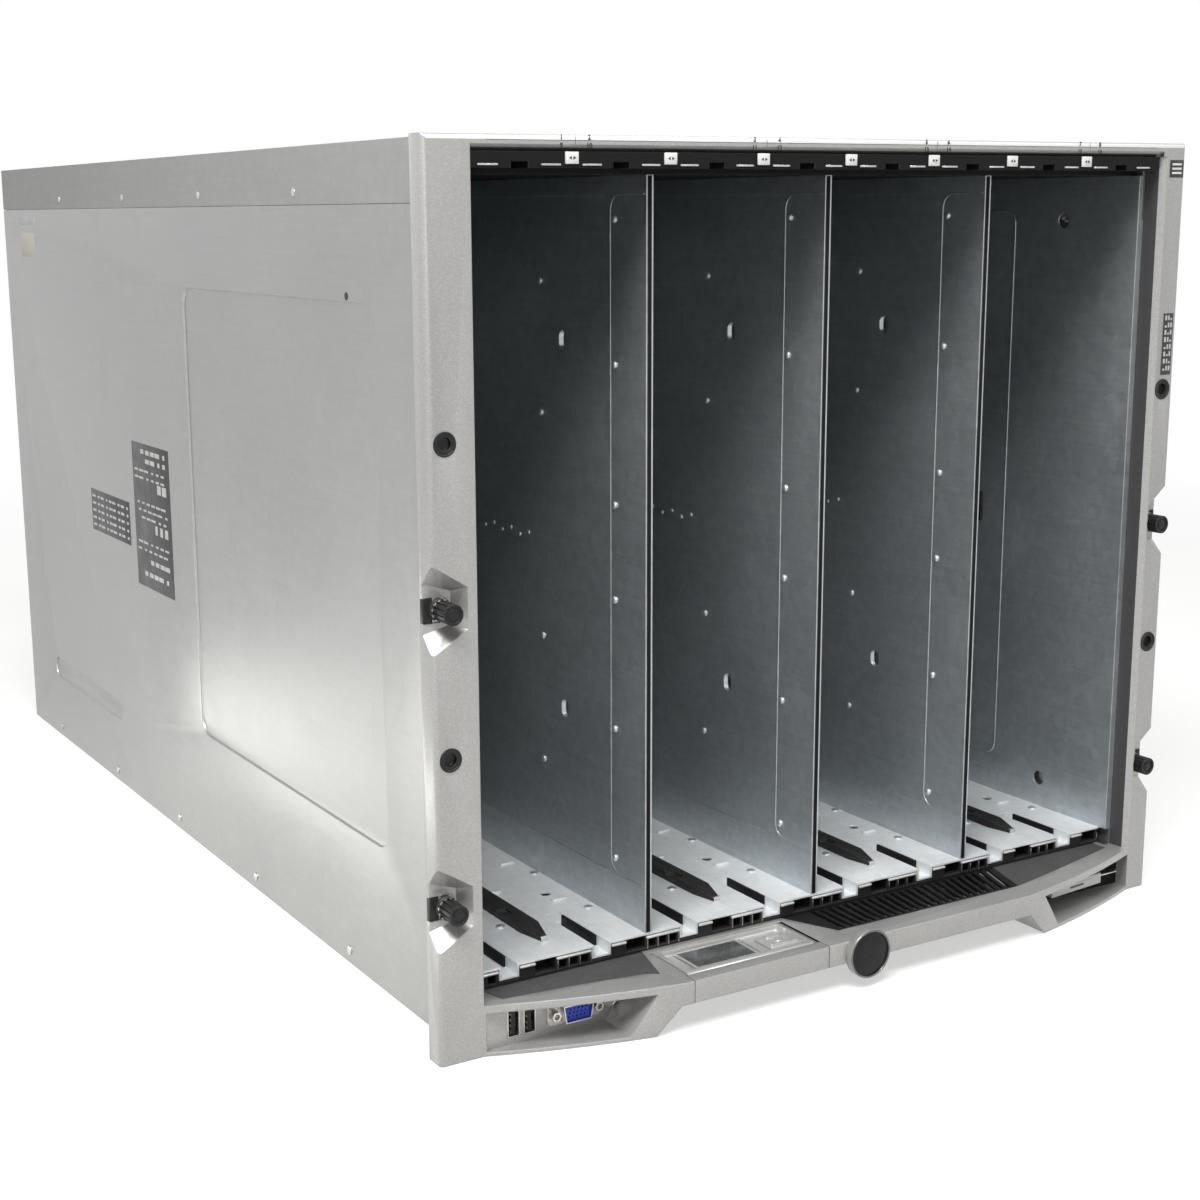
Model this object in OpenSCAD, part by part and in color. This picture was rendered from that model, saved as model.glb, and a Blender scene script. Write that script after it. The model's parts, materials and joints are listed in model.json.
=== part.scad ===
// Blade server chassis: a ten-unit rack enclosure with four double-width blade bays in front,
// a midplane, and hot-swap fans, power supplies and controllers behind.
// X runs across the chassis, Y from the front to the back and Z up.
// The origin is the centre of the base.

/* [Enclosure] */
// Height of the enclosure
body_h = 440.5; // [438:0.5:446]
// Depth of the sheet metal body behind the bezel
body_d = 753.6; // [740:0.1:800]
// Thickness of the outer sheet metal
skin_t = 1.5; // [1.2:0.1:1.8]
// Height of the cover's side lip
lip_h = 30; // [24:1:40]
// Depth of the panels embossed in the sides
emboss_d = 1.5; // [0.8:0.1:1.5]

/* [Bezel] */
// Width of the bezel over both ears
bezel_w = 482.6; // [480:0.2:483]
// How far each ear stands out past the body's side
ear_stand = 17.55; // [17:0.05:19]
// Thickness of the bezel plate and ears
bezel_t = 12; // [10:0.5:14]
// Inset of the bays' outer walls from the body's sides
liner_inset = 5.25; // [5:0.05:6]
// How far the left ear laps over the bays
left_lap = 1.5; // [0:0.5:3]
// How far the opening runs past the bays on the right
right_gain = 5; // [4:0.5:6]
// Height of the bezel's top band
top_band_h = 7.5; // [6:0.5:9]
// Radius of the bezel's outer edges
edge_r = 2.5; // [1:0.5:4]
// Chamfer round the bezel's opening
opening_chamfer = 3; // [1:0.5:4]

/* [Lower beam] */
// How far the lower beam stands out in front
beam_reach = 28.5; // [24:0.5:32]
// Height of the beam's top above the base
beam_top = 26.5; // [25.5:0.5:28]
// Height of the beam's underside above the base
beam_under = 14.5; // [12:0.5:16]
// Length of each bowed end of the beam
bow_l = 100.5; // [96:0.5:104]
// Plan radius of the bowed ends
bow_r = 560; // [400:10:900]
// Length of each foot along the floor
foot_l = 85.5; // [82:0.5:88]
// Height of the opening in each foot
foot_recess_h = 20.5; // [19:0.5:20.5]
// Thickness of the lip under that opening
foot_lip = 2; // [1.5:0.1:3]
// Setback of the connector panel behind the bezel's face
panel_setback = 2; // [1:0.5:4]

/* [Rack fixings] */
// Inset of the rack holes from the ears' outer edges
rack_inset = 8.75; // [8.5:0.05:9]
// Height of the lower pair of rack holes
rack_hole_low = 153.6; // [150:0.1:160]
// Height of the upper pair of rack holes
rack_hole_high = 302.8; // [298:0.1:306]
// Diameter of a rack hole
rack_hole_d = 7.1; // [6.6:0.1:7.6]
// Diameter of the counterbore round a rack hole
rack_bore_d = 11; // [9:0.1:11]
// Height of the lower thumbscrews
thumb_low = 78; // [74:1:84]
// Height of the upper thumbscrews
thumb_high = 224.5; // [220:0.5:230]
// Diameter of a thumbscrew's thread
thumb_thread_d = 6; // [5:0.5:6]
// Diameter of a thumbscrew's collar
thumb_collar_d = 11.4; // [10:0.2:11.4]
// Diameter of a thumbscrew's knob
thumb_knob_d = 11; // [9:0.5:11.5]
// Length of a thumbscrew's knob
thumb_knob_l = 13; // [10:0.5:15]

/* [Blade bays] */
// Height of the bay floor above the base
floor_z = 36; // [34:0.5:38]
// Depth of the bay ceiling's underside below the enclosure's top
ceiling_drop = 17.5; // [16:0.5:20]
// Setback of the bay floor and dividers behind the bezel's face
bay_y = 18; // [16:0.5:20]
// Depth of the bays
bay_d = 458; // [440:1:465]
// Thickness of a divider
divider_t = 4; // [3:0.5:5]
// Thickness of the inner sheet metal
sheet_t = 1.2; // [1:0.1:1.5]
// Width of the channels in the bay floor
channel_w = 9; // [8:0.5:12]
// Length of the channels in the bay floor
channel_l = 50; // [40:1:80]
// Width of the floor's guide rails
rail_w = 11; // [8:0.5:12]
// Height of the floor's guide rails
rail_h = 6; // [4:0.5:8]
// Length of the floor's guide rails
rail_l = 320; // [200:5:400]
// Setback of the guide rails behind the floor's front edge
rail_set = 19; // [10:1:30]

/* [Display] */
// Inset of the display drawer from the beam's left bend
drawer_inset = 6.5; // [5:0.5:8]
// Width of the display drawer
drawer_w = 85.5; // [80:0.5:88]
// Thickness of the tilting display panel
lcd_t = 7; // [6:0.2:7]
// Diameter of the display's hinge pins
lcd_pin_d = 3; // [2.4:0.1:3.4]
// Width of the display's screen
screen_w = 37; // [30:1:38]
// Depth of the display's screen
screen_d = 20.5; // [18:0.5:22]
// Diameter of the badge disc
badge_d = 27; // [24:1:30]

/* [Rear modules] */
// Height of the deck over the power supplies
deck_z = 160; // [150:1:165]
// Gap round every module in its bay
module_gap = 0.3; // [0.2:0.05:0.4]
// Width of one switch module bay
switch_w = 32; // [30:0.5:33]
// Height of a controller module's bay
controller_h = 30; // [28:0.5:34]
// Room between the midplane's cage and each power supply
supply_clear = 23.6; // [18:0.1:40]
// Depth of the fan modules
fan_d = 110; // [90:1:140]
// Depth of the controller modules
controller_d = 190; // [150:1:210]
// Least wall round a fan's duct
duct_wall = 3.5; // [3:0.5:6]
// Gap between the blade tips and the duct
tip_gap = 1; // [0.8:0.1:2]
// Diameter of a fan's hub
hub_d = 32; // [28:1:38]
// Number of blades on a fan
blade_count = 7; // [5:1:9]
// Reach of the handles behind the rear face
handle_reach = 24; // [20:1:30]

/* [Hidden] */

// Small fixed clearances
seam = 0.1;
slide_gap = 0.3;
shaft_gap = 0.05;

// Derived places
ear_x = bezel_w / 2;
outer_x = ear_x - ear_stand;
rack_x = ear_x - rack_inset;
skin_x = outer_x - skin_t;
inner_x = skin_x - skin_t;
body_top = body_h - skin_t;
seam_z = body_h - lip_h;
rear_y = bezel_t + body_d;
bay_x = outer_x - liner_inset;
opening_left = bay_x - left_lap;
opening_right = bay_x + right_gain;
opening_top = body_h - top_band_h;
opening_back = skin_x + seam;
ceiling_z = body_h - ceiling_drop;
face_right = opening_right + opening_chamfer;
beam_mid = bay_x - bow_l;
foot_toe = bay_x - foot_l;
badge_proud = 5;
face_y = (beam_reach + badge_proud - rear_y - handle_reach) / 2;
bay_end = bay_y + bay_d;
bay_pitch = bay_x / 2;
slot_pitch = bay_x / 4;
eps = 0.01;

// Sides
emboss_y = 90;
emboss_z = 80;
emboss_w = 275;
emboss_h = seam_z - emboss_z - 48.5;
emboss_r = 12;
bead_y = 531;
bead_z = 48;
bead_w = 167;
bead_h = 16;
tongue_drop = 12;
groove_pitch = 145;
groove_w = 24;
groove_depth = 0.8;
groove_margin = 80;
cover_panel_w = 90;
cover_margin = 150;

// Bezel lower end
foot_slant = 14;
foot_wall = 13;
apron_y = 4;
recess_top = foot_lip + foot_recess_h;
recess_wall = 4;
pocket_step = 1.2;
panel_t = 1.5;
shelf_t = 3;
shelf_back = bay_y - 2 * seam;
deck_t = 1.5;
deck_sink = 0.5;
deck_gap = 0.3;
deck_back = bay_y + 2;
beam_floor_t = 1.5;
beam_base_h = 12;
duct_front = -11;

// Connectors in the left foot
port_z = 12.6;
usb_inset = 19;
usb_pitch = 9.2;
usb_x = [usb_inset - bay_x, usb_inset + usb_pitch - bay_x];
usb_w = 7;
usb_h = 14.5;
usb_depth = 9;
vga_inset = 53.5;
vga_x = vga_inset - bay_x;
vga_flange_w = 31;
vga_flange_h = 12.4;
vga_nut_span = 25;
button_d = 7.6;
button_flange = 1;
// The button clears the slanting end of the foot's opening
button_x = foot_slant * (port_z - foot_lip) / foot_recess_h - foot_toe - foot_wall
    - (button_d / 2 + slide_gap + 0.1) * norm([foot_slant, foot_recess_h]) / foot_recess_h;

// Display drawer
drawer_x = drawer_inset - beam_mid;
drawer_right = drawer_x + drawer_w;
duct_left = drawer_right + 21;
drawer_bar = 8;
drawer_back = bay_y - 3.8;
cheek_t = 2;
lcd_top = beam_top - 0.2;
lcd_r = lcd_t / 2;
hinge_y = -beam_reach + drawer_bar + slide_gap + lcd_r;
hinge_z = lcd_top - lcd_r;
lcd_x = drawer_x + cheek_t + slide_gap;
lcd_w = drawer_w - 2 * (cheek_t + slide_gap);
lcd_back = drawer_back - slide_gap;
lcd_rim = 2.5;
lcd_sink = 2.4;
well_front = hinge_y + 1.5;
well_back = lcd_back - lcd_rim;
screen_t = 1;
screen_x = lcd_x + 11;
screen_y = (well_front + well_back - screen_d) / 2;
key_x = lcd_x + lcd_w - 12;
key_y = screen_y + screen_d / 2 - 1.5;
key_w = 21;
key_d = 16;
key_travel = 0.5;
key_plate_t = 1.3;
key_bar_w = 1.8;

// Badge and tag
badge_x = drawer_right + 24.5;
badge_z = 18.7;
tag_right = bay_x - 14.5;
tag_left = tag_right - 44;
tag_z = 12.3;
tag_t = 2.4;
tag_back = 52;
tag_holder_h = 6.1;

// Thumbscrews
notch_depth = 9;
notch_left = opening_left + 5;
notch_right = face_right + 0.9;
collar_l = 5;
shaft_l = 11;

// Bays
channel_depth = 6;
channel_offset = -1.5;
channel_half = channel_w / 2 + sheet_t;
channel_back = bay_y + channel_l;
strip_depth = 12;
strip_gap = 0.5;
strip_base_t = 1.5;
rail_front = bay_y + rail_set;
rail_offset = 2.7;
hole_y = 69;
liner_emboss_y = 109;
liner_margin = 12;
divider_strip = 33;
divider_hole_set = 77.5;
hand_hole_low = 103.5;
hand_hole_high = 83.3;
divider_sink = 0.6;
guide_y = 1;
guide_z = ceiling_z + 2.5;
guide_notch_w = 9;
guide_notch_h = 3;

// Midplane
pcb_t = 3;
pcb_margin = 2;
plug_w = 8;
plug_d = 6;
plug_h = 58;

// Rear bays
supply_count = 6;
supply_bay_w = (2 * inner_x - (supply_count - 1) * sheet_t) / supply_count;
supply_pitch = supply_bay_w + sheet_t;
supply_w = supply_bay_w - 2 * module_gap;
supply_h = deck_z - sheet_t - skin_t - 2 * module_gap;
fan_bay_w = (2 * inner_x - 4 * sheet_t - 6 * switch_w) / 3;
fan_bay_h = (body_top - deck_z - controller_h - 3 * sheet_t) / 3;
fan_w = fan_bay_w - 2 * module_gap;
fan_h = fan_bay_h - 2 * module_gap;
duct_d = min(fan_w, fan_h) - 2 * duct_wall;
column_pitch = fan_bay_w + 3 * switch_w + 2 * sheet_t;
controller_z = deck_z + 2 * (fan_bay_h + sheet_t);
cage_front = bay_end + pcb_t + 1;
supply_d = rear_y - cage_front - supply_clear;
shell_t = 1.2;
stator_t = 8;
hub_l = 22;
shaft_d = 5;
blade_chord = 26;
blade_t = 1.6;
blade_bend_r = 34;
blade_pitch = 38;
guard_t = 3;
guard_rod = 2;
small_reach = handle_reach - 6;
fan_handle_w = 44;
supply_handle_h = 64;
inlet_w = 31;
inlet_h = 25;
inlet_depth = 22;

function fan_column_x(c) = -inner_x + c * column_pitch + fan_bay_w / 2;
function fan_row_z(r) = r < 2
    ? deck_z + r * (fan_bay_h + sheet_t) + fan_bay_h / 2
    : controller_z + controller_h + sheet_t + fan_bay_h / 2;
function slot_x(i) = (i - 3.5) * slot_pitch;
function supply_x(i) = -inner_x + supply_bay_w / 2 + i * supply_pitch;

// Everything below is drawn from the bezel's front face and moved to the part's origin
module placed() {
    translate([0, face_y, 0])
        children();
}

// A box given by its low and high corners
module block(low, high) {
    translate(low)
        cube(high - low);
}

// A flat outline in X and Z, extruded from the front y0 to the back y1
module along_y(y0, y1) {
    translate([0, y1, 0])
        rotate([90, 0, 0])
            linear_extrude(y1 - y0)
                children();
}

// A flat outline in Y and Z, extruded from x0 to x1
module along_x(x0, x1) {
    translate([x0, 0, 0])
        rotate([90, 0, 90])
            linear_extrude(x1 - x0)
                children();
}

// A round rod along Y
module rod_y(x, z, d, y0, y1) {
    translate([x, y1, z])
        rotate([90, 0, 0])
            cylinder(d = d, h = y1 - y0, $fn = 48);
}

// A rectangle with round corners, from its low corner
module soft_square(w, h, r) {
    translate([r, 0])
        square([w - 2 * r, h]);
    translate([0, r])
        square([w, h - 2 * r]);
    for (x = [r, w - r], y = [r, h - r])
        translate([x, y])
            circle(r, $fn = 48);
}

// ---------- Sheet metal body ----------

module base_pan() {
    color("lightslategray")
    placed() {
        difference() {
            union() {
                block([-skin_x, bezel_t, 0], [skin_x, rear_y, skin_t]);
                block([-skin_x, bezel_t, 0], [skin_x, bezel_t + skin_t, beam_base_h]);
                for (side = [0, 1])
                    mirror([side, 0, 0])
                        block([inner_x, bezel_t, 0], [skin_x, rear_y, beam_base_h]);
            }
            // Stiffening grooves along the underside
            for (i = [-1:1])
                translate([i * groove_pitch - groove_w / 2, bezel_t + groove_margin, -eps])
                    linear_extrude(groove_depth + eps)
                        soft_square(groove_w, body_d - 2 * groove_margin, groove_w / 2 - 0.1);
        }
    }
}

// Outline of a side panel with its joggled tongue behind the cover's lip
module side_section() {
    translate([skin_x, 0])
        square([skin_t, seam_z - slide_gap]);
    translate([inner_x, seam_z - tongue_drop])
        square([skin_t, body_top - seam_z + tongue_drop]);
}

module side_panel(side) {
    color("silver")
    placed()
        mirror([side, 0, 0])
            difference() {
                union() {
                    along_y(bezel_t, rear_y)
                        side_section();
                    along_x(skin_x - emboss_d, skin_x + eps) {
                        translate([emboss_y - skin_t, emboss_z - skin_t])
                            soft_square(emboss_w + 2 * skin_t, emboss_h + 2 * skin_t, emboss_r + skin_t);
                        translate([bead_y - skin_t, bead_z - skin_t])
                            soft_square(bead_w + 2 * skin_t, bead_h + 2 * skin_t, bead_h / 2 + skin_t - eps);
                    }
                }
                along_x(outer_x - emboss_d, outer_x + 1) {
                    translate([emboss_y, emboss_z])
                        soft_square(emboss_w, emboss_h, emboss_r);
                    translate([bead_y, bead_z])
                        soft_square(bead_w, bead_h, bead_h / 2 - eps);
                }
            }
}

module left_side_panel() {
    side_panel(1);
}

module right_side_panel() {
    side_panel(0);
}

module top_cover() {
    color("lightgray")
    placed()
        difference() {
            union() {
                block([-outer_x, bezel_t, body_top], [outer_x, rear_y, body_h]);
                for (side = [0, 1])
                    mirror([side, 0, 0])
                        block([skin_x, bezel_t, seam_z], [outer_x, rear_y, body_h]);
            }
            // Shallow panels along the top
            for (i = [-1:1])
                translate([i * groove_pitch - cover_panel_w / 2, cover_margin, body_h - groove_depth])
                    linear_extrude(1)
                        soft_square(cover_panel_w, body_d - 2 * cover_margin, emboss_r);
        }
}

// ---------- Bezel ----------

// Plan of one half of the part that stands out in front. Past the beam's straight middle it
// follows a circle through the bend and the point where the bow meets the ear, at x = end
module bow_plan_half(end) {
    run = end - beam_mid;
    chord = sqrt(run * run + beam_reach * beam_reach);
    rise = sqrt(bow_r * bow_r - chord * chord / 4);
    translate([0, -beam_reach])
        square([beam_mid + eps, beam_reach + bezel_t]);
    intersection() {
        translate([beam_mid, -beam_reach])
            square([run, beam_reach + bezel_t]);
        translate([(end + beam_mid) / 2 - rise * beam_reach / chord, rise * run / chord - beam_reach / 2])
            circle(bow_r, $fn = 360);
    }
}

// The opening in a foot, grown by a margin; its outer end lies just inside x = end
module foot_opening(end, grow) {
    low = foot_lip - grow;
    high = recess_top + grow;
    outer = end - 1 + grow;
    inner = foot_toe + foot_wall - grow;
    polygon([[outer, low], [outer, high], [inner - foot_slant, high], [inner, low]]);
}

// A plate with its two outer front edges rounded, as a plan outline
module bezel_plan() {
    translate([-ear_x, edge_r])
        square([bezel_w, bezel_t - edge_r]);
    translate([edge_r - ear_x, 0])
        square([bezel_w - 2 * edge_r, bezel_t]);
    for (x = [edge_r - ear_x, ear_x - edge_r])
        translate([x, edge_r])
            circle(edge_r, $fn = 48);
}

// Plan of the opening: square on the left, flared to the front on the right
module opening_plan() {
    polygon([
        [-opening_left, -1], [face_right + 1, -1], [opening_right, opening_chamfer],
        [opening_back, bezel_t], [opening_back, bezel_t + 1], [-opening_left, bezel_t + 1]
    ]);
}

// The same plate seen from the side, rounded at its top front edge
module bezel_side() {
    square([bezel_t, body_h - edge_r]);
    translate([edge_r, 0])
        square([bezel_t - edge_r, body_h]);
    translate([edge_r, body_h - edge_r])
        circle(edge_r, $fn = 48);
}

// The sloping notch in an ear that gives fingers room round a thumbscrew, right ear
module ear_notch(inner) {
    edge = ear_x + 1;
    hull() {
        along_y(-1, -1 + eps)
            polygon([[edge, 24.5], [inner - 0.6, 11.5], [inner - 0.6, -9], [edge, -21.5]]);
        along_y(notch_depth - eps, notch_depth)
            polygon([[edge, 13.5], [inner + 4.5, 8.5], [inner + 4.5, -7.5], [edge, -11.5]]);
    }
}

// Everything cut from an ear for its thumbscrew: the notch and the screw's slot
module thumb_seat(inner) {
    half = thumb_collar_d / 2 + slide_gap;
    ear_notch(inner);
    rod_y(rack_x, 0, 2 * half, 0, bezel_t + 1);
    block([rack_x, 0, -half], [ear_x + 1, bezel_t + 1, half]);
}

// Plans of the dark deck plates; grow is the extra margin of the seat that they lie in
module left_deck_plan(grow) {
    outer = bay_x - 10.5 + grow;
    polygon([
        [-outer, deck_back + grow],
        [-outer, 12 - grow],
        [-outer + 3, 3.2 - grow],
        [-(bay_x - 50), -0.9 - grow],
        [-(beam_mid + 10), -7.6 - grow],
        [-(beam_mid + 4) + grow, -11.5 - grow],
        [drawer_x - 1.7 + grow, deck_back + grow]
    ]);
}

module right_deck_plan(grow) {
    polygon([
        [drawer_right + 2.5 - grow, deck_back + grow],
        [drawer_right + 19 - grow, -12.8 - grow],
        [beam_mid + 4, -13.3 - grow],
        [bay_x - 74.5, -9 - grow],
        [bay_x - 48.5, -3.2 - grow],
        [bay_x - 3 + grow, 8 - grow],
        [bay_x - 3 + grow, deck_back + grow]
    ]);
}

// The drawer's bay in the beam, with a floor under all but the drawer's front bar
module drawer_bay() {
    x0 = drawer_x - slide_gap;
    x1 = drawer_right + slide_gap;
    block([x0, -beam_reach - 1, beam_under - 1], [x1, -beam_reach + drawer_bar + slide_gap, beam_top + 1]);
    block([x0, -beam_reach, beam_under + beam_floor_t], [x1, drawer_back, beam_top + 1]);
}

module front_bezel() {
    slope = foot_slant / beam_under;
    shelf_end = bay_x - seam;
    recess_back = bezel_t - recess_wall;
    color("silver")
    placed()
        difference() {
            union() {
                difference() {
                    intersection() {
                        linear_extrude(body_h)
                            bezel_plan();
                        along_x(-bezel_w, bezel_w)
                            bezel_side();
                    }
                    translate([0, 0, beam_top])
                        linear_extrude(opening_top - beam_top)
                            opening_plan();
                    // Chamfer under the top band
                    along_x(-opening_left, opening_right)
                        polygon([[-1, opening_top - 1], [-1, opening_top + opening_chamfer + 1],
                            [opening_chamfer, opening_top], [opening_chamfer, opening_top - 1]]);
                    for (side = [0, 1], z = [rack_hole_low, rack_hole_high])
                        mirror([side, 0, 0]) {
                            rod_y(rack_x, z, rack_hole_d, -1, bezel_t + 1);
                            rod_y(rack_x, z, rack_bore_d, -1, notch_depth);
                        }
                    for (z = [thumb_low, thumb_high])
                        translate([0, 0, z]) {
                            thumb_seat(notch_right);
                            mirror([1, 0, 0])
                                thumb_seat(notch_left);
                        }
                }
                linear_extrude(beam_top) {
                    bow_plan_half(face_right);
                    mirror([1, 0, 0])
                        bow_plan_half(opening_left);
                }
                // Shelf that carries the deck plates in front of the bays
                block([-shelf_end, bezel_t - eps, beam_top - shelf_t], [shelf_end, shelf_back, beam_top]);
            }
            // Room under the middle of the beam, with slanting ends
            along_y(-beam_reach - 1, apron_y)
                polygon([
                    [-foot_toe - slope, -1], [-foot_toe + foot_slant, beam_under],
                    [foot_toe - foot_slant, beam_under], [foot_toe + slope, -1]
                ]);
            // Openings in the feet, with a deeper seat in the left one for the connector panel
            along_y(-beam_reach - 1, recess_back)
                foot_opening(face_right, 0);
            mirror([1, 0, 0]) {
                along_y(-beam_reach - 1, panel_setback + eps)
                    foot_opening(opening_left, 0);
                along_y(panel_setback, bezel_t + 1)
                    foot_opening(opening_left, pocket_step);
            }
            // Slot that the information tag slides in
            block([tag_left - slide_gap, recess_back - 1, tag_z - slide_gap],
                [tag_right + slide_gap, bezel_t + 1, tag_z + tag_t + slide_gap]);
            // Seats of the deck plates and the air duct below the grille
            translate([0, 0, beam_top - deck_sink - deck_t])
                linear_extrude(deck_t + deck_sink + 1) {
                    left_deck_plan(deck_gap);
                    right_deck_plan(deck_gap);
                }
            block([duct_left, duct_front, beam_under + beam_floor_t], [beam_mid + 4, bay_y, beam_top]);
            drawer_bay();
        }
}

// ---------- Blade bays ----------

module bay_liners() {
    color("slategray")
    placed()
        for (side = [0, 1])
            mirror([side, 0, 0])
                difference() {
                    union() {
                        block([bay_x, bezel_t, floor_z], [bay_x + sheet_t, bay_end, ceiling_z]);
                        // Front flange, narrower beside the side panel's joggled tongue
                        block([bay_x, bezel_t, floor_z],
                            [skin_x, bezel_t + sheet_t, seam_z - tongue_drop - seam]);
                        block([bay_x, bezel_t, floor_z], [inner_x - seam, bezel_t + sheet_t, ceiling_z]);
                    }
                    along_x(bay_x - 1, bay_x + divider_sink)
                        translate([liner_emboss_y, floor_z + liner_margin])
                            soft_square(bay_end - liner_emboss_y - 20, ceiling_z - floor_z - 2 * liner_margin,
                                emboss_r);
                    for (z = [floor_z + 18, ceiling_z - 25])
                        translate([bay_x - 1, hole_y, z])
                            rotate([0, 90, 0])
                                cylinder(d = 9, h = sheet_t + 2, $fn = 48);
                }
}

// One U-shaped channel let into the bay floor, open at the front
module floor_channel(x) {
    bottom = floor_z - channel_depth - sheet_t;
    half = channel_w / 2;
    difference() {
        block([x - channel_half, bay_y, bottom], [x + channel_half, channel_back + sheet_t, floor_z]);
        block([x - half, bay_y - 1, bottom + sheet_t], [x + half, channel_back, floor_z + 1]);
    }
}

module bay_floor() {
    edge = bay_x + sheet_t;
    half = channel_half - eps;
    color("lightblue")
    placed() {
        difference() {
            block([-edge, bay_y, floor_z - sheet_t], [edge, bay_end, floor_z]);
            for (i = [0:7]) {
                x = slot_x(i) + channel_offset;
                block([x - half, bay_y - 1, floor_z - sheet_t - 1],
                    [x + half, channel_back + sheet_t - eps, floor_z + 1]);
                // Drain and screw holes along each slot
                for (y = [channel_back + 28 : 94 : bay_end - 40])
                    translate([x + 12, y, floor_z - sheet_t - 1])
                        cylinder(d = 6, h = sheet_t + 2, $fn = 32);
            }
        }
        for (i = [0:7])
            floor_channel(slot_x(i) + channel_offset);
        // Webs that carry the floor on the base under each divider
        for (i = [-1:1])
            block([i * bay_pitch - sheet_t / 2, bay_y + strip_depth + 2, skin_t],
                [i * bay_pitch + sheet_t / 2, bay_end, floor_z - sheet_t + eps]);
    }
}

// Recessed panel on one face of a divider
module divider_pan() {
    along_x(divider_t / 2 - divider_sink, divider_t / 2 + 1)
        translate([bay_y + divider_strip, floor_z + 24])
            soft_square(bay_d - divider_strip - 16, ceiling_z - floor_z - 33, 8);
}

module divider(x) {
    color("slategray")
    placed()
        translate([x, 0, 0])
            difference() {
                block([-divider_t / 2, bay_y, floor_z], [divider_t / 2, bay_end, ceiling_z]);
                divider_pan();
                mirror([1, 0, 0])
                    divider_pan();
                // Oval holes through the sheet
                for (z = [floor_z + hand_hole_low, ceiling_z - hand_hole_high])
                    along_x(-divider_t, divider_t)
                        translate([bay_y + divider_hole_set, z - 5])
                            soft_square(7, 10, 3.49);
            }
}

module left_divider() {
    divider(-bay_pitch);
}

module center_divider() {
    divider(0);
}

module right_divider() {
    divider(bay_pitch);
}

module bay_ceiling() {
    edge = bay_x + sheet_t;
    color("slategray")
    placed()
        difference() {
            union() {
                block([-edge, bay_y, ceiling_z], [edge, bay_end, ceiling_z + sheet_t]);
                block([-edge, bay_y, ceiling_z], [edge, bay_y + sheet_t, body_top]);
                block([-edge, bay_end - sheet_t, ceiling_z], [edge, bay_end, body_top]);
            }
            for (i = [0:7])
                block([slot_x(i) - 3, bay_y + 40, ceiling_z - 1],
                    [slot_x(i) + 3, bay_end - 60, ceiling_z + sheet_t + 1]);
        }
}

module ceiling_guide_rail() {
    color("dimgray")
    placed()
        difference() {
            block([seam - opening_left, guide_y, guide_z], [inner_x - seam, bay_y, opening_top - seam]);
            for (i = [0:7])
                block([slot_x(i) - guide_notch_w / 2, guide_y - 1, guide_z - 1],
                    [slot_x(i) + guide_notch_w / 2, bay_y + 1, guide_z + guide_notch_h]);
        }
}

// One guide rail with a pointed nose and clip windows along its ridge
module guide_rail(x) {
    nose = 16;
    tip = 4;
    translate([x, 0, floor_z])
        difference() {
            linear_extrude(rail_h)
                polygon([
                    [-tip / 2, rail_front], [tip / 2, rail_front],
                    [rail_w / 2, rail_front + nose], [rail_w / 2, rail_front + rail_l],
                    [-rail_w / 2, rail_front + rail_l], [-rail_w / 2, rail_front + nose]
                ]);
            for (y = [rail_front + 2 * nose : 34 : rail_front + rail_l - nose])
                block([-rail_w, y, rail_h - 2], [0, y + 9, rail_h + 1]);
        }
}

module floor_guide_rails() {
    color("dimgray")
    placed()
        for (i = [0:3])
            guide_rail((i - 1.5) * bay_pitch + rail_offset);
}

// Connector strip under the front of the bay floor: a base, a rear wall up to the floor, and two
// raised lips in each slot, the wider one with three square windows
module floor_connector_strip() {
    low = beam_top - deck_sink + strip_gap;
    front = bay_y;
    back = front + strip_depth;
    lip_top = floor_z - 2 * sheet_t;
    half = channel_half + seam;
    edge = bay_x - seam;
    color("dimgray")
    placed()
        intersection() {
            block([-edge, front, low], [edge, back, floor_z]);
            union() {
                block([-edge, front, low], [edge, back, low + strip_base_t]);
                for (i = [-1:7])
                    translate([slot_x(i) + channel_offset, 0, 0])
                        difference() {
                            union() {
                                block([half, back - sheet_t, low],
                                    [slot_pitch - half, back, floor_z - sheet_t]);
                                block([half, front, low], [15, back, lip_top]);
                                block([27, front, low], [slot_pitch - half - 0.5, back, lip_top]);
                            }
                            for (k = [0:2])
                                block([29 + k * 6.6, front - 1, low + strip_base_t],
                                    [33.6 + k * 6.6, back - 2, lip_top - 1]);
                        }
            }
        }
}

// ---------- Lower front ----------

module left_deck_plate() {
    color("darkslategray")
    placed()
        translate([0, 0, beam_top - deck_sink - deck_t])
            linear_extrude(deck_t)
                left_deck_plan(0);
}

// Dark plate with a row of air slots from front to back, ending in a slanting slot on the right
module right_deck_grille() {
    slot_step = 5.2;
    slot_w = 3;
    first = duct_left + 2;
    count = floor((beam_mid + 2 - slot_w - first) / slot_step);
    color("darkslategray")
    placed()
        translate([0, 0, beam_top - deck_sink - deck_t])
            difference() {
                linear_extrude(deck_t)
                    right_deck_plan(0);
                for (i = [0:count])
                    translate([first + i * slot_step, 0, -1])
                        linear_extrude(deck_t + 2)
                            polygon([
                                [0, duct_front + 0.5], [slot_w, duct_front + 0.5],
                                [slot_w + i * 0.4, bay_y - 0.5], [i * 0.4, bay_y - 0.5]
                            ]);
            }
}

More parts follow.
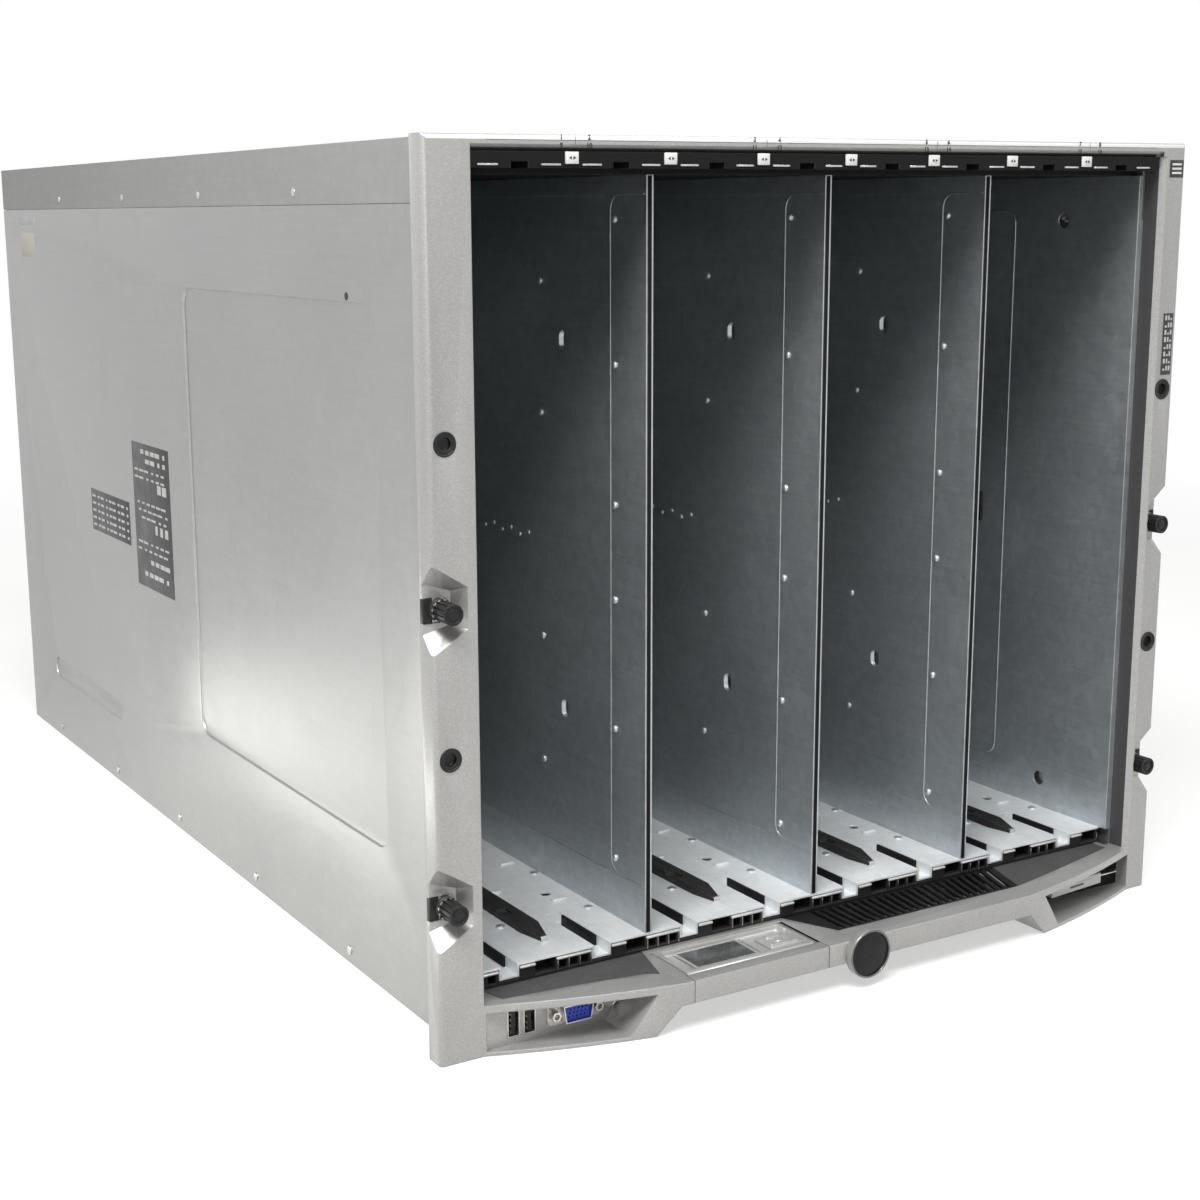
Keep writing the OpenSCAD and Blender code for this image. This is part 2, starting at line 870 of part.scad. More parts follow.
module connector_panel() {
    grow = pocket_step - slide_gap;
    low = panel_setback;
    color("silver")
    placed()
        difference() {
            mirror([1, 0, 0])
                along_y(low, low + panel_t)
                    foot_opening(opening_left, grow);
            for (x = usb_x)
                block([x - usb_w / 2 - seam, low - 1, port_z - usb_h / 2 - seam],
                    [x + usb_w / 2 + seam, low + panel_t + 1, port_z + usb_h / 2 + seam]);
            block([vga_x - 9.6, low - 1, port_z - 5.2], [vga_x + 9.6, low + panel_t + 1, port_z + 5.2]);
            rod_y(button_x, port_z, button_d + 2 * slide_gap, low - 1, low + panel_t + 1);
        }
}

module usb_ports() {
    wall = 0.6;
    color("dimgray")
    placed()
        for (x = usb_x) {
            difference() {
                block([x - usb_w / 2, panel_setback, port_z - usb_h / 2],
                    [x + usb_w / 2, panel_setback + usb_depth, port_z + usb_h / 2]);
                block([x - usb_w / 2 + wall, panel_setback - 1, port_z - usb_h / 2 + wall],
                    [x + usb_w / 2 - wall, panel_setback + usb_depth - 1, port_z + usb_h / 2 - wall]);
            }
            block([x - 1, panel_setback + 1, port_z - usb_h / 2 + wall + 0.6],
                [x + 1, panel_setback + usb_depth - 0.5, port_z + usb_h / 2 - wall - 0.6]);
        }
}

// The D-shaped outline of the display connector
module vga_outline(grow) {
    polygon([
        [-8.3 - grow, 4.1 + grow], [8.3 + grow, 4.1 + grow],
        [6.9 + grow, -4.1 - grow], [-6.9 - grow, -4.1 - grow]
    ]);
}

module vga_port() {
    face = panel_setback - 0.8;
    color("royalblue")
    placed()
        translate([vga_x, 0, port_z]) {
            along_y(face, panel_setback)
                difference() {
                    translate([-vga_flange_w / 2, -vga_flange_h / 2])
                        soft_square(vga_flange_w, vga_flange_h, 2);
                    vga_outline(0.5);
                }
            along_y(face - 5, panel_setback + 8)
                difference() {
                    vga_outline(0.7);
                    vga_outline(0);
                }
            along_y(face - 3.5, panel_setback + 8)
                difference() {
                    vga_outline(0.3);
                    for (row = [-1, 0, 1], i = [-2:2])
                        translate([i * 2.3 + row * 0.5, row * 2])
                            circle(0.5, $fn = 24);
                }
            for (x = [-vga_nut_span / 2, vga_nut_span / 2])
                translate([x, face, 0])
                    rotate([90, 0, 0])
                        difference() {
                            cylinder(d = 5.5, h = 4.5, $fn = 6);
                            translate([0, 0, 1])
                                cylinder(d = 2.8, h = 5, $fn = 24);
                        }
        }
}

module power_button() {
    back = panel_setback + panel_t + slide_gap;
    color("gainsboro")
    placed() {
        rod_y(button_x, port_z, button_d, panel_setback - 1.2, back + eps);
        rod_y(button_x, port_z, button_d + 2 * button_flange, back, back + 1);
    }
}

module badge_disc() {
    r = badge_d / 2;
    color("black")
    placed()
        translate([badge_x, -beam_reach, badge_z])
            rotate([90, 0, 0])
                rotate_extrude($fn = 96)
                    difference() {
                        union() {
                            square([r - 1, badge_proud]);
                            square([r, badge_proud - 1]);
                            translate([r - 1, badge_proud - 1])
                                circle(1, $fn = 32);
                        }
                        // Dished face inside the rim
                        translate([-1, badge_proud - 0.8])
                            square([r - 1, 1]);
                    }
}

// Pull-out tag: a plate that slides in the bezel, with a thicker holder at its front
module information_tag() {
    back = bezel_t - recess_wall - slide_gap;
    color("white")
    placed() {
        translate([0, 0, tag_z])
            linear_extrude(tag_t)
                polygon([[tag_left, -4], [tag_right, 0], [tag_right, tag_back], [tag_left, tag_back]]);
        translate([0, 0, tag_z + tag_t - tag_holder_h])
            linear_extrude(tag_holder_h)
                polygon([[tag_left, -4], [tag_right, 0], [tag_right, back], [tag_left, back]]);
    }
}

// ---------- Display drawer ----------

module display_drawer() {
    tray_z = beam_under + beam_floor_t + slide_gap;
    front = -beam_reach + drawer_bar;
    color("silver")
    placed()
        difference() {
            union() {
                block([drawer_x, -beam_reach, beam_under], [drawer_x + drawer_w, front, beam_top]);
                block([drawer_x, front - eps, tray_z], [drawer_x + drawer_w, drawer_back, tray_z + 1]);
                for (x = [drawer_x, drawer_x + drawer_w - cheek_t])
                    block([x, front - eps, tray_z], [x + cheek_t, drawer_back - 1, beam_top - 0.8]);
            }
            // Bores for the display's hinge pins
            translate([drawer_x - 1, hinge_y, hinge_z])
                rotate([0, 90, 0])
                    cylinder(d = lcd_pin_d + 2 * shaft_gap, h = drawer_w + 2, $fn = 48);
        }
}

module display_panel() {
    color("lightgray")
    placed()
        difference() {
            union() {
                block([lcd_x, hinge_y, lcd_top - lcd_t], [lcd_x + lcd_w, lcd_back, lcd_top]);
                translate([lcd_x, hinge_y, hinge_z])
                    rotate([0, 90, 0])
                        cylinder(r = lcd_r, h = lcd_w, $fn = 64);
                translate([drawer_x + 0.4, hinge_y, hinge_z])
                    rotate([0, 90, 0])
                        cylinder(d = lcd_pin_d, h = drawer_w - 0.8, $fn = 48);
            }
            // Sunken face for the screen and keys
            translate([lcd_x + lcd_rim, well_front, lcd_top - lcd_sink])
                linear_extrude(lcd_sink + 1)
                    soft_square(lcd_w - 2 * lcd_rim, well_back - well_front, 2);
            // Well that the keypad sinks into
            translate([key_x - key_w / 2 - slide_gap, key_y - key_d / 2 - slide_gap,
                lcd_top - lcd_sink - key_travel - slide_gap - 0.6])
                linear_extrude(4)
                    soft_square(key_w + 2 * slide_gap, key_d + 2 * slide_gap, 2);
        }
}

module display_screen() {
    color("darkslategray")
    placed()
        block([screen_x, screen_y, lcd_top - lcd_sink],
            [screen_x + screen_w, screen_y + screen_d, lcd_top - lcd_sink + screen_t]);
}

// Rocker keypad: a plate with a long and a short bar and a round key between them
module display_keypad() {
    bar_l = key_w - 3;
    color("gainsboro")
    placed()
        translate([key_x, key_y, lcd_top - lcd_sink - 0.6]) {
            translate([-key_w / 2, -key_d / 2, 0])
                linear_extrude(key_plate_t)
                    soft_square(key_w, key_d, 1.8);
            translate([-bar_l / 2, -5.8, 0])
                linear_extrude(key_plate_t + 1)
                    soft_square(bar_l, key_bar_w, key_bar_w / 2 - eps);
            translate([-bar_l / 4, 4.4, 0])
                linear_extrude(key_plate_t + 1)
                    soft_square(bar_l / 2, key_bar_w, key_bar_w / 2 - eps);
            cylinder(r = 2.6, h = key_plate_t + 0.9, $fn = 48);
        }
}

// ---------- Thumbscrews ----------

module thumbscrew(side, z) {
    collar_y = bezel_t - collar_l + slide_gap;
    knob_y = collar_y - thumb_knob_l;
    color("dimgray")
    placed()
        mirror([side, 0, 0])
            difference() {
                union() {
                    rod_y(rack_x, z, thumb_knob_d, knob_y, collar_y + eps);
                    rod_y(rack_x, z, thumb_collar_d, collar_y, collar_y + collar_l);
                    rod_y(rack_x, z, thumb_thread_d, collar_y + collar_l - eps, collar_y + collar_l + shaft_l);
                }
                // Grip flutes round the knob, and a driver slot in its face
                for (a = [0:45:315])
                    translate([rack_x, 0, z])
                        rotate([0, a, 0])
                            rod_y(thumb_knob_d / 2 + 0.6, 0, 2, knob_y - 1, collar_y - 1.8);
                block([rack_x - 3.5, knob_y - 1, z - 0.6], [rack_x + 3.5, knob_y + 1.5, z + 0.6]);
            }
}

module thumbscrew_lower_left() {
    thumbscrew(1, thumb_low);
}

module thumbscrew_lower_right() {
    thumbscrew(0, thumb_low);
}

module thumbscrew_upper_left() {
    thumbscrew(1, thumb_high);
}

module thumbscrew_upper_right() {
    thumbscrew(0, thumb_high);
}

// ---------- Rear ----------

module midplane() {
    low = floor_z + pcb_margin;
    high = ceiling_z - pcb_margin;
    half_h = (high - low) / 2;
    window_h = half_h - 41;
    color("darkgreen")
    placed() {
        difference() {
            block([-bay_x, bay_end, low], [bay_x, bay_end + pcb_t, high]);
            // Air windows between the connector columns
            for (i = [0:7], z = [low + 18, low + half_h + 16])
                block([slot_x(i) - 20, bay_end - 1, z], [slot_x(i) - 4, bay_end + pcb_t + 1, z + window_h]);
        }
        for (i = [0:7], z = [low + 30, low + half_h + 28])
            block([slot_x(i) + 6, bay_end - plug_d, z], [slot_x(i) + 6 + plug_w, bay_end + eps, z + plug_h]);
    }
}

// Plates of the rear cage: each lies in its place with a hairline joint to the next
module rear_cage() {
    color("silver")
    placed() {
        block([-inner_x + seam, cage_front, deck_z - sheet_t], [inner_x - seam, rear_y, deck_z]);
        for (i = [1 : supply_count - 1]) {
            x = -inner_x + i * supply_pitch - sheet_t;
            block([x, cage_front, skin_t + seam], [x + sheet_t, rear_y, deck_z - sheet_t - seam]);
        }
        for (c = [0, 1], x = [0, 3 * switch_w + sheet_t]) {
            x0 = fan_column_x(c) + fan_bay_w / 2 + x;
            block([x0, cage_front, deck_z + seam], [x0 + sheet_t, rear_y, body_top - seam]);
        }
        for (c = [0:2], z = [deck_z + fan_bay_h, controller_z - sheet_t, controller_z + controller_h]) {
            x = fan_column_x(c);
            half = fan_bay_w / 2 - seam;
            block([x - half, cage_front, z], [x + half, rear_y, z + sheet_t]);
        }
    }
}

// Sheet metal blanks over the six switch bays, each with a turned rim and louvre slots
module switch_bay_covers() {
    cover_h = body_top - deck_z - 2 * module_gap;
    cover_w = switch_w - 2 * module_gap;
    rim = 22;
    slot_h = 3.2;
    color("silver")
    placed()
        for (g = [0, 1], i = [0:2])
            translate([fan_column_x(g) + fan_bay_w / 2 + sheet_t + i * switch_w + module_gap,
                rear_y - rim, deck_z + module_gap])
                difference() {
                    cube([cover_w, rim, cover_h]);
                    translate([shell_t, -1, shell_t])
                        cube([cover_w - 2 * shell_t, rim - shell_t + 1, cover_h - 2 * shell_t]);
                    for (z = [24 : 12 : cover_h - 24])
                        translate([6, rim - shell_t - 1, z])
                            cube([cover_w - 12, shell_t + 2, slot_h]);
                }
}

// A closed-top sheet metal shell, open at its inner end, from the rear face inwards
module shell(w, h, d, wall) {
    difference() {
        translate([-w / 2, -d, -h / 2])
            cube([w, d, h]);
        translate([-w / 2 + wall, -d - 1, -h / 2 + wall])
            cube([w - 2 * wall, d + 1 - wall, h - 2 * wall]);
    }
}

// A pull handle: a bar across two posts, standing out behind the rear face
module pull_handle(span, reach) {
    rod = 6;
    for (x = [-span / 2, span / 2])
        translate([x - rod / 2, -eps, -rod / 2])
            cube([rod, reach - rod / 2, rod]);
    translate([-span / 2 - rod / 2, reach - rod / 2, 0])
        rotate([0, 90, 0])
            cylinder(d = rod, h = span + rod, $fn = 48);
}

module controller(c) {
    w = fan_bay_w - 2 * module_gap;
    h = controller_h - 2 * module_gap;
    color("gray")
    placed()
        translate([fan_column_x(c), rear_y, controller_z + controller_h / 2]) {
            difference() {
                shell(w, h, controller_d, shell_t);
                // Network sockets and a console socket, from the left
                for (i = [0, 1])
                    translate([4 + i * 16 - w / 2, -2, -7])
                        cube([13.6, 3, 12]);
                translate([37 - w / 2, -2, -6])
                    cube([17, 3, 9]);
            }
            translate([w / 2 - 9, 0, 0])
                rotate([0, 90, 0])
                    pull_handle(h - 12, small_reach);
        }
}

module left_controller() {
    controller(0);
}

module center_controller() {
    controller(1);
}

module right_controller() {
    controller(2);
}

module power_supply(i) {
    inlet_x = 13 - supply_w / 2;
    inlet_z = 14 - supply_h / 2;
    color("gray")
    placed()
        translate([supply_x(i), rear_y, skin_t + module_gap + supply_h / 2]) {
            difference() {
                shell(supply_w, supply_h, supply_d, shell_t);
                // Air slots
                for (z = [-8 : 7 : supply_h / 2 - 12], x = [8 - supply_w / 2, 3])
                    translate([x, -shell_t - 1, z])
                        cube([supply_w / 2 - 11, shell_t + 2, 3.4]);
                // Power inlet
                translate([inlet_x, -shell_t - 1, inlet_z])
                    cube([inlet_w, shell_t + 2, inlet_h]);
            }
            // Socket body in the inlet with its three blades
            translate([inlet_x, 0, inlet_z])
                difference() {
                    translate([-eps, -inlet_depth, -eps])
                        cube([inlet_w + 2 * eps, inlet_depth, inlet_h + 2 * eps]);
                    translate([2, 4 - inlet_depth, 2])
                        cube([inlet_w - 4, inlet_depth, inlet_h - 4]);
                }
            for (i = [0:2])
                translate([inlet_x + 7.5 + 7 * i, 4 - inlet_depth - eps, inlet_z + 9])
                    cube([2, 14, 7]);
            translate([supply_w / 2 - 11, 0, 0])
                rotate([0, 90, 0])
                    pull_handle(supply_handle_h, handle_reach);
        }
}

module fan(i) {
    c = i % 3;
    r = floor(i / 3);
    color("dimgray")
    placed()
        translate([fan_column_x(c), rear_y, fan_row_z(r)]) {
            difference() {
                translate([-fan_w / 2, -fan_d, -fan_h / 2])
                    cube([fan_w, fan_d, fan_h]);
                rod_y(0, 0, duct_d, -fan_d - 1, 1);
                // Weight-saving pockets in the four corners
                for (x = [-1, 1], z = [-1, 1])
                    translate([x * (fan_w / 2 - 6.5) - 4, -fan_d - 1, z * (fan_h / 2 - 6.5) - 4])
                        cube([8, fan_d - 8, 8]);
            }
            // Motor carrier on four struts at the inlet
            difference() {
                union() {
                    rod_y(0, 0, hub_d, -fan_d, -fan_d + stator_t);
                    for (a = [45, 135])
                        rotate([0, a, 0])
                            translate([-duct_d / 2 - 0.5, -fan_d, -1.5])
                                cube([duct_d + 1, 4, 3]);
                }
                rod_y(0, 0, shaft_d + 2 * shaft_gap, -fan_d - 1, -fan_d + stator_t + 1);
            }
            // Finger guard at the outlet
            for (ring = [13 : 8 : duct_d / 2 - 6])
                difference() {
                    rod_y(0, 0, 2 * ring + guard_rod, -guard_t, 0);
                    rod_y(0, 0, 2 * ring - guard_rod, -guard_t - 1, 1);
                }
            for (a = [0, 90])
                rotate([0, a + 45, 0])
                    translate([-duct_d / 2 - 0.5, -guard_t, -guard_rod / 2])
                        cube([duct_d + 1, guard_t, guard_rod]);
            translate([0, 0, fan_h / 2 - 4.5])
                pull_handle(fan_handle_w, small_reach);
        }
}

// One curved blade, standing out along Z from inside the hub to beyond the tip circle
module fan_blade() {
    r_out = blade_bend_r + blade_t / 2;
    rotate([0, 0, 90 - blade_pitch])
        translate([0, -blade_bend_r, 1])
            intersection() {
                difference() {
                    cylinder(r = r_out, h = duct_d, $fn = 96);
                    translate([0, 0, -1])
                        cylinder(r = r_out - blade_t, h = duct_d + 2, $fn = 96);
                }
                translate([-blade_chord / 2, blade_bend_r / 2, 0])
                    cube([blade_chord, blade_bend_r, duct_d]);
            }
}

module fan_rotor(i) {
    c = i % 3;
    r = floor(i / 3);
    hub_y = -fan_d + stator_t + 1.2;
    color("black")
    placed()
        translate([fan_column_x(c), rear_y + hub_y, fan_row_z(r)]) {
            rod_y(0, 0, hub_d, 0, hub_l);
            rod_y(0, 0, shaft_d, -stator_t - 1, eps);
            for (a = [0 : 360 / blade_count : 359])
                rotate([0, a, 0])
                    intersection() {
                        difference() {
                            rod_y(0, 0, duct_d - 2 * tip_gap, 0.5, hub_l - 0.5);
                            rod_y(0, 0, hub_d - 1, 0, hub_l + 1);
                        }
                        translate([0, hub_l / 2, 0])
                            fan_blade();
                    }
        }
}

// ---------- Assembly ----------

base_pan();
left_side_panel();
right_side_panel();
top_cover();
front_bezel();
bay_liners();
bay_floor();
left_divider();
center_divider();
right_divider();
bay_ceiling();
ceiling_guide_rail();
floor_guide_rails();
floor_connector_strip();
left_deck_plate();
right_deck_grille();
connector_panel();
usb_ports();
vga_port();
power_button();
display_drawer();
display_panel();
display_screen();
display_keypad();
badge_disc();
information_tag();
thumbscrew_lower_left();
thumbscrew_lower_right();
thumbscrew_upper_left();
thumbscrew_upper_right();
midplane();
rear_cage();
switch_bay_covers();
left_controller();
center_controller();
right_controller();
for (i = [1:6])
    power_supply(i - 1);
for (i = [1:9])
    fan(i - 1);
for (i = [1:9])
    fan_rotor(i - 1);
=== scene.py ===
"""Blade server chassis: finishes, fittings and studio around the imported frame.

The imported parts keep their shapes. This file gives each one a finish, adds the small fittings that
a sheet metal enclosure carries (rivets, screws, tags, print, contacts) and sets up the studio.
Lengths are in metres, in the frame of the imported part.
"""

from __future__ import annotations

import json
import logging
import math
from contextlib import contextmanager
from dataclasses import dataclass, field
from enum import Enum
from typing import Callable, Iterable, Iterator, Sequence

import bmesh
import bpy
from mathutils import Matrix, Vector

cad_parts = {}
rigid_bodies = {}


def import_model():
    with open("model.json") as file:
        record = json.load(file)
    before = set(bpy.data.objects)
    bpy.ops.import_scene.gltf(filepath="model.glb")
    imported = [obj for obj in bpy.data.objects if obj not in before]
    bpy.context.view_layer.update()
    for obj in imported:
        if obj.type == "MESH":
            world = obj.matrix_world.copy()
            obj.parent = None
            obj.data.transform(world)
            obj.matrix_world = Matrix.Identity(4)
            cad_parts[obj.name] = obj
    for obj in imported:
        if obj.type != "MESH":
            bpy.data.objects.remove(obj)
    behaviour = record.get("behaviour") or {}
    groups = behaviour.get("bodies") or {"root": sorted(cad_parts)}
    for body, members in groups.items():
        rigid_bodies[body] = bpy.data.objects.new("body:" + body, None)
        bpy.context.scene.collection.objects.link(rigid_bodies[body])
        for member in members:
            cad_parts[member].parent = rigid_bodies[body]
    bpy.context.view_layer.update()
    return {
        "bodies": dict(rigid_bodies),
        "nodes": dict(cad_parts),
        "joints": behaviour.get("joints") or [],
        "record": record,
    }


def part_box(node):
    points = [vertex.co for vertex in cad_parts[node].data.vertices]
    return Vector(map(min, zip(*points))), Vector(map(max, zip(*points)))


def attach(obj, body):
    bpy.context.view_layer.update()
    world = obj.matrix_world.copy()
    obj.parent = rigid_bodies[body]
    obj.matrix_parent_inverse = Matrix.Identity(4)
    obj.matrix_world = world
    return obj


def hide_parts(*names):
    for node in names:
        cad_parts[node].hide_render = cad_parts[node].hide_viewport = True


LOG = logging.getLogger("blade_chassis")
MM = 0.001

MERGE = 0.002 * MM
FLAT_ANGLE = math.radians(0.4)
SMOOTH_ANGLE = math.radians(34)
SIDES = (-1, 1)
# Depth of the step that closes a turned end without moving it, in millimetres
HAIR = 0.001
# From the bezel's face to the side panels' front edges, and from the deck plates' top to the beam's
BEZEL_DEPTH = 12 * MM
DECK_SINK = 0.5 * MM
# Underside of the top band, where the painted shade inside the opening starts, in metres
BAND_LOW = 0.4345
# Where painted shade starts on the right deck grille, under the beam: start along X in metres, and slant against Y
GRILLE_SHADE = (0.2477, 0.3172)

Point = Sequence[float]


class Axis(Enum):
    """A direction that a rod, disc or print faces along."""

    X = (1.0, 0.0, 0.0)
    Y = (0.0, 1.0, 0.0)
    Z = (0.0, 0.0, 1.0)

    @property
    def vector(self) -> Vector:
        """The direction as a vector."""
        return Vector(self.value)

    @property
    def turn(self) -> Matrix:
        """The turn that takes Z to this direction."""
        return Vector((0.0, 0.0, 1.0)).rotation_difference(self.vector).to_matrix().to_4x4()


class Body(Enum):
    """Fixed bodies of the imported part."""

    ENCLOSURE = "enclosure"


# ---------------------------------------------------------------------------
# Modelling bench
# ---------------------------------------------------------------------------


class Bench:
    """Modelling by operators: every method leaves a finished mesh at the origin."""

    @staticmethod
    def clear_selection() -> None:
        """Deselects everything and leaves edit mode."""
        if bpy.context.object and bpy.context.object.mode != "OBJECT":
            bpy.ops.object.mode_set(mode="OBJECT")
        bpy.ops.object.select_all(action="DESELECT")

    @staticmethod
    def activate(piece: bpy.types.Object) -> None:
        """Makes one piece the only selected and active object.

        Args:
            piece: The object to work on.
        """
        Bench.clear_selection()
        piece.select_set(True)
        bpy.context.view_layer.objects.active = piece

    @staticmethod
    @contextmanager
    def editing(piece: bpy.types.Object) -> Iterator[None]:
        """Keeps a piece in edit mode while its block runs.

        Args:
            piece: The object to shape.
        """
        Bench.activate(piece)
        bpy.ops.object.mode_set(mode="EDIT")
        yield
        bpy.ops.object.mode_set(mode="OBJECT")

    @staticmethod
    def settle(piece: bpy.types.Object, name: str, place_at: Matrix | None = None) -> bpy.types.Object:
        """Names a piece, moves it and applies its place, turn and scale to its mesh.

        Args:
            piece: The object to settle.
            name: Its name.
            place_at: Where it goes, or None to leave it.

        Returns:
            The same object.
        """
        piece.name = name
        if place_at is not None:
            piece.matrix_world = place_at
        Bench.activate(piece)
        bpy.ops.object.transform_apply(location=True, rotation=True, scale=True)
        return piece

    @staticmethod
    def box(name: str, low: Point, high: Point) -> bpy.types.Object:
        """Starts a block from its low and high corners.

        Args:
            name: Name of the new piece.
            low: Lowest corner.
            high: Highest corner.

        Returns:
            The new block.
        """
        Bench.clear_selection()
        centre = [(a + b) / 2 for a, b in zip(low, high)]
        bpy.ops.mesh.primitive_cube_add(size=1, location=centre)
        piece = bpy.context.object
        piece.scale = [b - a for a, b in zip(low, high)]
        return Bench.settle(piece, name)

    @staticmethod
    def rod(
        name: str, centre: Point, radius: float, length: float, axis: Axis = Axis.Y, sides: int = 24
    ) -> bpy.types.Object:
        """Starts a round rod.

        Args:
            name: Name of the new piece.
            centre: Middle of the rod.
            radius: Its radius.
            length: Its length.
            axis: The direction that it runs in.
            sides: Number of faces round it.

        Returns:
            The new rod.
        """
        Bench.clear_selection()
        bpy.ops.mesh.primitive_cylinder_add(vertices=sides, radius=radius, depth=length)
        return Bench.settle(bpy.context.object, name, Matrix.Translation(centre) @ axis.turn)

    @staticmethod
    def ring(name: str, centre: Point, radius: float, bead: float, sides: int) -> bpy.types.Object:
        """Makes a smooth ring that faces along Y.

        Args:
            name: Name of the new piece.
            centre: Middle of the ring.
            radius: Radius of its middle line.
            bead: Radius of its bead.
            sides: Number of steps round it.

        Returns:
            The new ring.
        """
        Bench.clear_selection()
        bpy.ops.mesh.primitive_torus_add(
            major_radius=radius, minor_radius=bead, major_segments=sides, minor_segments=10
        )
        ring = Bench.settle(bpy.context.object, name, Matrix.Translation(centre) @ Axis.Y.turn)
        bpy.ops.object.shade_smooth()
        return ring

    @staticmethod
    def wire(name: str, points: Sequence[Point], radius: float) -> bpy.types.Object:
        """Makes a round bead that follows a line of points.

        Args:
            name: Name of the new piece.
            points: The line.
            radius: Radius of the bead.

        Returns:
            The bead as a mesh.
        """
        Bench.clear_selection()
        line = bpy.data.curves.new(name, "CURVE")
        line.dimensions = "3D"
        line.bevel_depth = radius
        line.bevel_resolution = 2
        line.use_fill_caps = True
        spline = line.splines.new("POLY")
        spline.points.add(len(points) - 1)
        for spot, point in zip(spline.points, points):
            spot.co = (*point, 1.0)
        piece = bpy.data.objects.new(name, line)
        bpy.context.scene.collection.objects.link(piece)
        Bench.activate(piece)
        bpy.ops.object.convert(target="MESH")
        bpy.ops.object.shade_smooth_by_angle(angle=math.radians(50))
        return bpy.context.object

    @staticmethod
    def dome(name: str, radius: float, height: float, axis: Axis, sides: int = 14) -> bpy.types.Object:
        """Makes a low rivet head at the origin, flat at its seat and crowned at its top.

        Args:
            name: Name of the new piece.
            radius: Radius of the seat in millimetres.
            height: Height of the crown in millimetres; a negative height faces the other way.
            axis: The direction that the head stands in.
            sides: Number of faces round it.

        Returns:
            The new head.
        """
        radius, height = radius * MM, height * MM
        Bench.clear_selection()
        bpy.ops.mesh.primitive_cylinder_add(vertices=sides, radius=radius, depth=abs(height) * 0.5)
        piece = bpy.context.object
        with Bench.editing(piece):
            Bench.pick(piece, "FACE", lambda face: face.normal.z > 0.9)
            for share, lift in ((0.82, 0.28), (0.55, 0.22)):
                Bench.extrude(Axis.Z, abs(height) * lift * 0.999)
                bpy.ops.transform.resize(value=(share, share, 1))
        side = -1.0 if height < 0 else 1.0
        turn = Axis.Z.vector.rotation_difference(axis.vector * side).to_matrix().to_4x4()
        return Bench.settle(piece, name, turn @ Matrix.Translation((0, 0, abs(height) * 0.25)))

    @staticmethod
    def pick(piece: bpy.types.Object, kind: str, wanted: Callable[[bmesh.types.BMElem], bool]) -> int:
        """Selects the vertices, edges or faces that answer a test, in edit mode.

        Args:
            piece: The object in edit mode.
            kind: VERT, EDGE or FACE.
            wanted: The test of a part.

        Returns:
            How many parts were selected.
        """
        bpy.ops.mesh.select_mode(type=kind)
        bpy.ops.mesh.select_all(action="DESELECT")
        mesh = bmesh.from_edit_mesh(piece.data)
        found = [part for part in {"VERT": mesh.verts, "EDGE": mesh.edges, "FACE": mesh.faces}[kind] if wanted(part)]
        for part in found:
            part.select_set(True)
        bmesh.update_edit_mesh(piece.data)
        return len(found)

    @staticmethod
    def extrude(axis: Axis, depth: float) -> None:
        """Extrudes the selection along an axis, in edit mode.

        Args:
            axis: The direction.
            depth: How far, in metres.
        """
        bpy.ops.mesh.extrude_region_move(TRANSFORM_OT_translate={"value": tuple(axis.vector * depth)})

    @staticmethod
    def turned_face(piece: bpy.types.Object, steps: Iterable[tuple[float, float]], side: int = -1) -> None:
        """Insets and presses one end face of a rod along Y again and again, in edit mode.

        Args:
            piece: The rod in edit mode.
            steps: Width of each inset and depth after it, in millimetres.
            side: Which end: -1 for the front, 1 for the back.
        """
        Bench.pick(piece, "FACE", lambda face: face.normal.y * side > 0.9)
        for width, depth in steps:
            bpy.ops.mesh.inset(thickness=width * MM)
            Bench.extrude(Axis.Y, depth * MM)

    @staticmethod
    def soften(piece: bpy.types.Object, width: float, segments: int = 2, limit: float = 40) -> bpy.types.Object:
        """Rounds a piece's sharp edges with an applied bevel and shades it smooth by angle.

        Args:
            piece: The object to round.
            width: Width of the rounding in millimetres.
            segments: Number of steps in it.
            limit: Least angle of an edge that is rounded, in degrees.

        Returns:
            The same object.
        """
        Bench.activate(piece)
        bevel = piece.modifiers.new("rounding", "BEVEL")
        bevel.width = width * MM
        bevel.segments = segments
        bevel.limit_method = "ANGLE"
        bevel.angle_limit = math.radians(limit)
        bevel.harden_normals = False
        bpy.ops.object.modifier_apply(modifier=bevel.name)
        bpy.ops.object.shade_smooth_by_angle(angle=SMOOTH_ANGLE)
        return piece

    @staticmethod
    def copies(piece: bpy.types.Object, places: Iterable[Point], name: str) -> bpy.types.Object:
        """Repeats a small mesh at several places and joins the copies into one piece.

        Args:
            piece: The pattern, modelled round the origin; it is used up.
            places: Where each copy goes.
            name: Name of the joined piece.

        Returns:
            The joined piece.
        """
        pattern = bmesh.new()
        pattern.from_mesh(piece.data)
        whole = bmesh.new()
        for place_at in places:
            part = pattern.copy()
            bmesh.ops.translate(part, verts=part.verts, vec=Vector(place_at))
            scratch = bpy.data.meshes.new("scratch")
            part.to_mesh(scratch)
            whole.from_mesh(scratch)
            part.free()
            bpy.data.meshes.remove(scratch)
        mesh = bpy.data.meshes.new(name)
        whole.to_mesh(mesh)
        whole.free()
        pattern.free()
        for material in piece.data.materials:
            mesh.materials.append(material)
        bpy.data.objects.remove(piece)
        joined = bpy.data.objects.new(name, mesh)
        bpy.context.scene.collection.objects.link(joined)
        Bench.activate(joined)
        bpy.ops.object.shade_smooth_by_angle(angle=SMOOTH_ANGLE)
        return joined

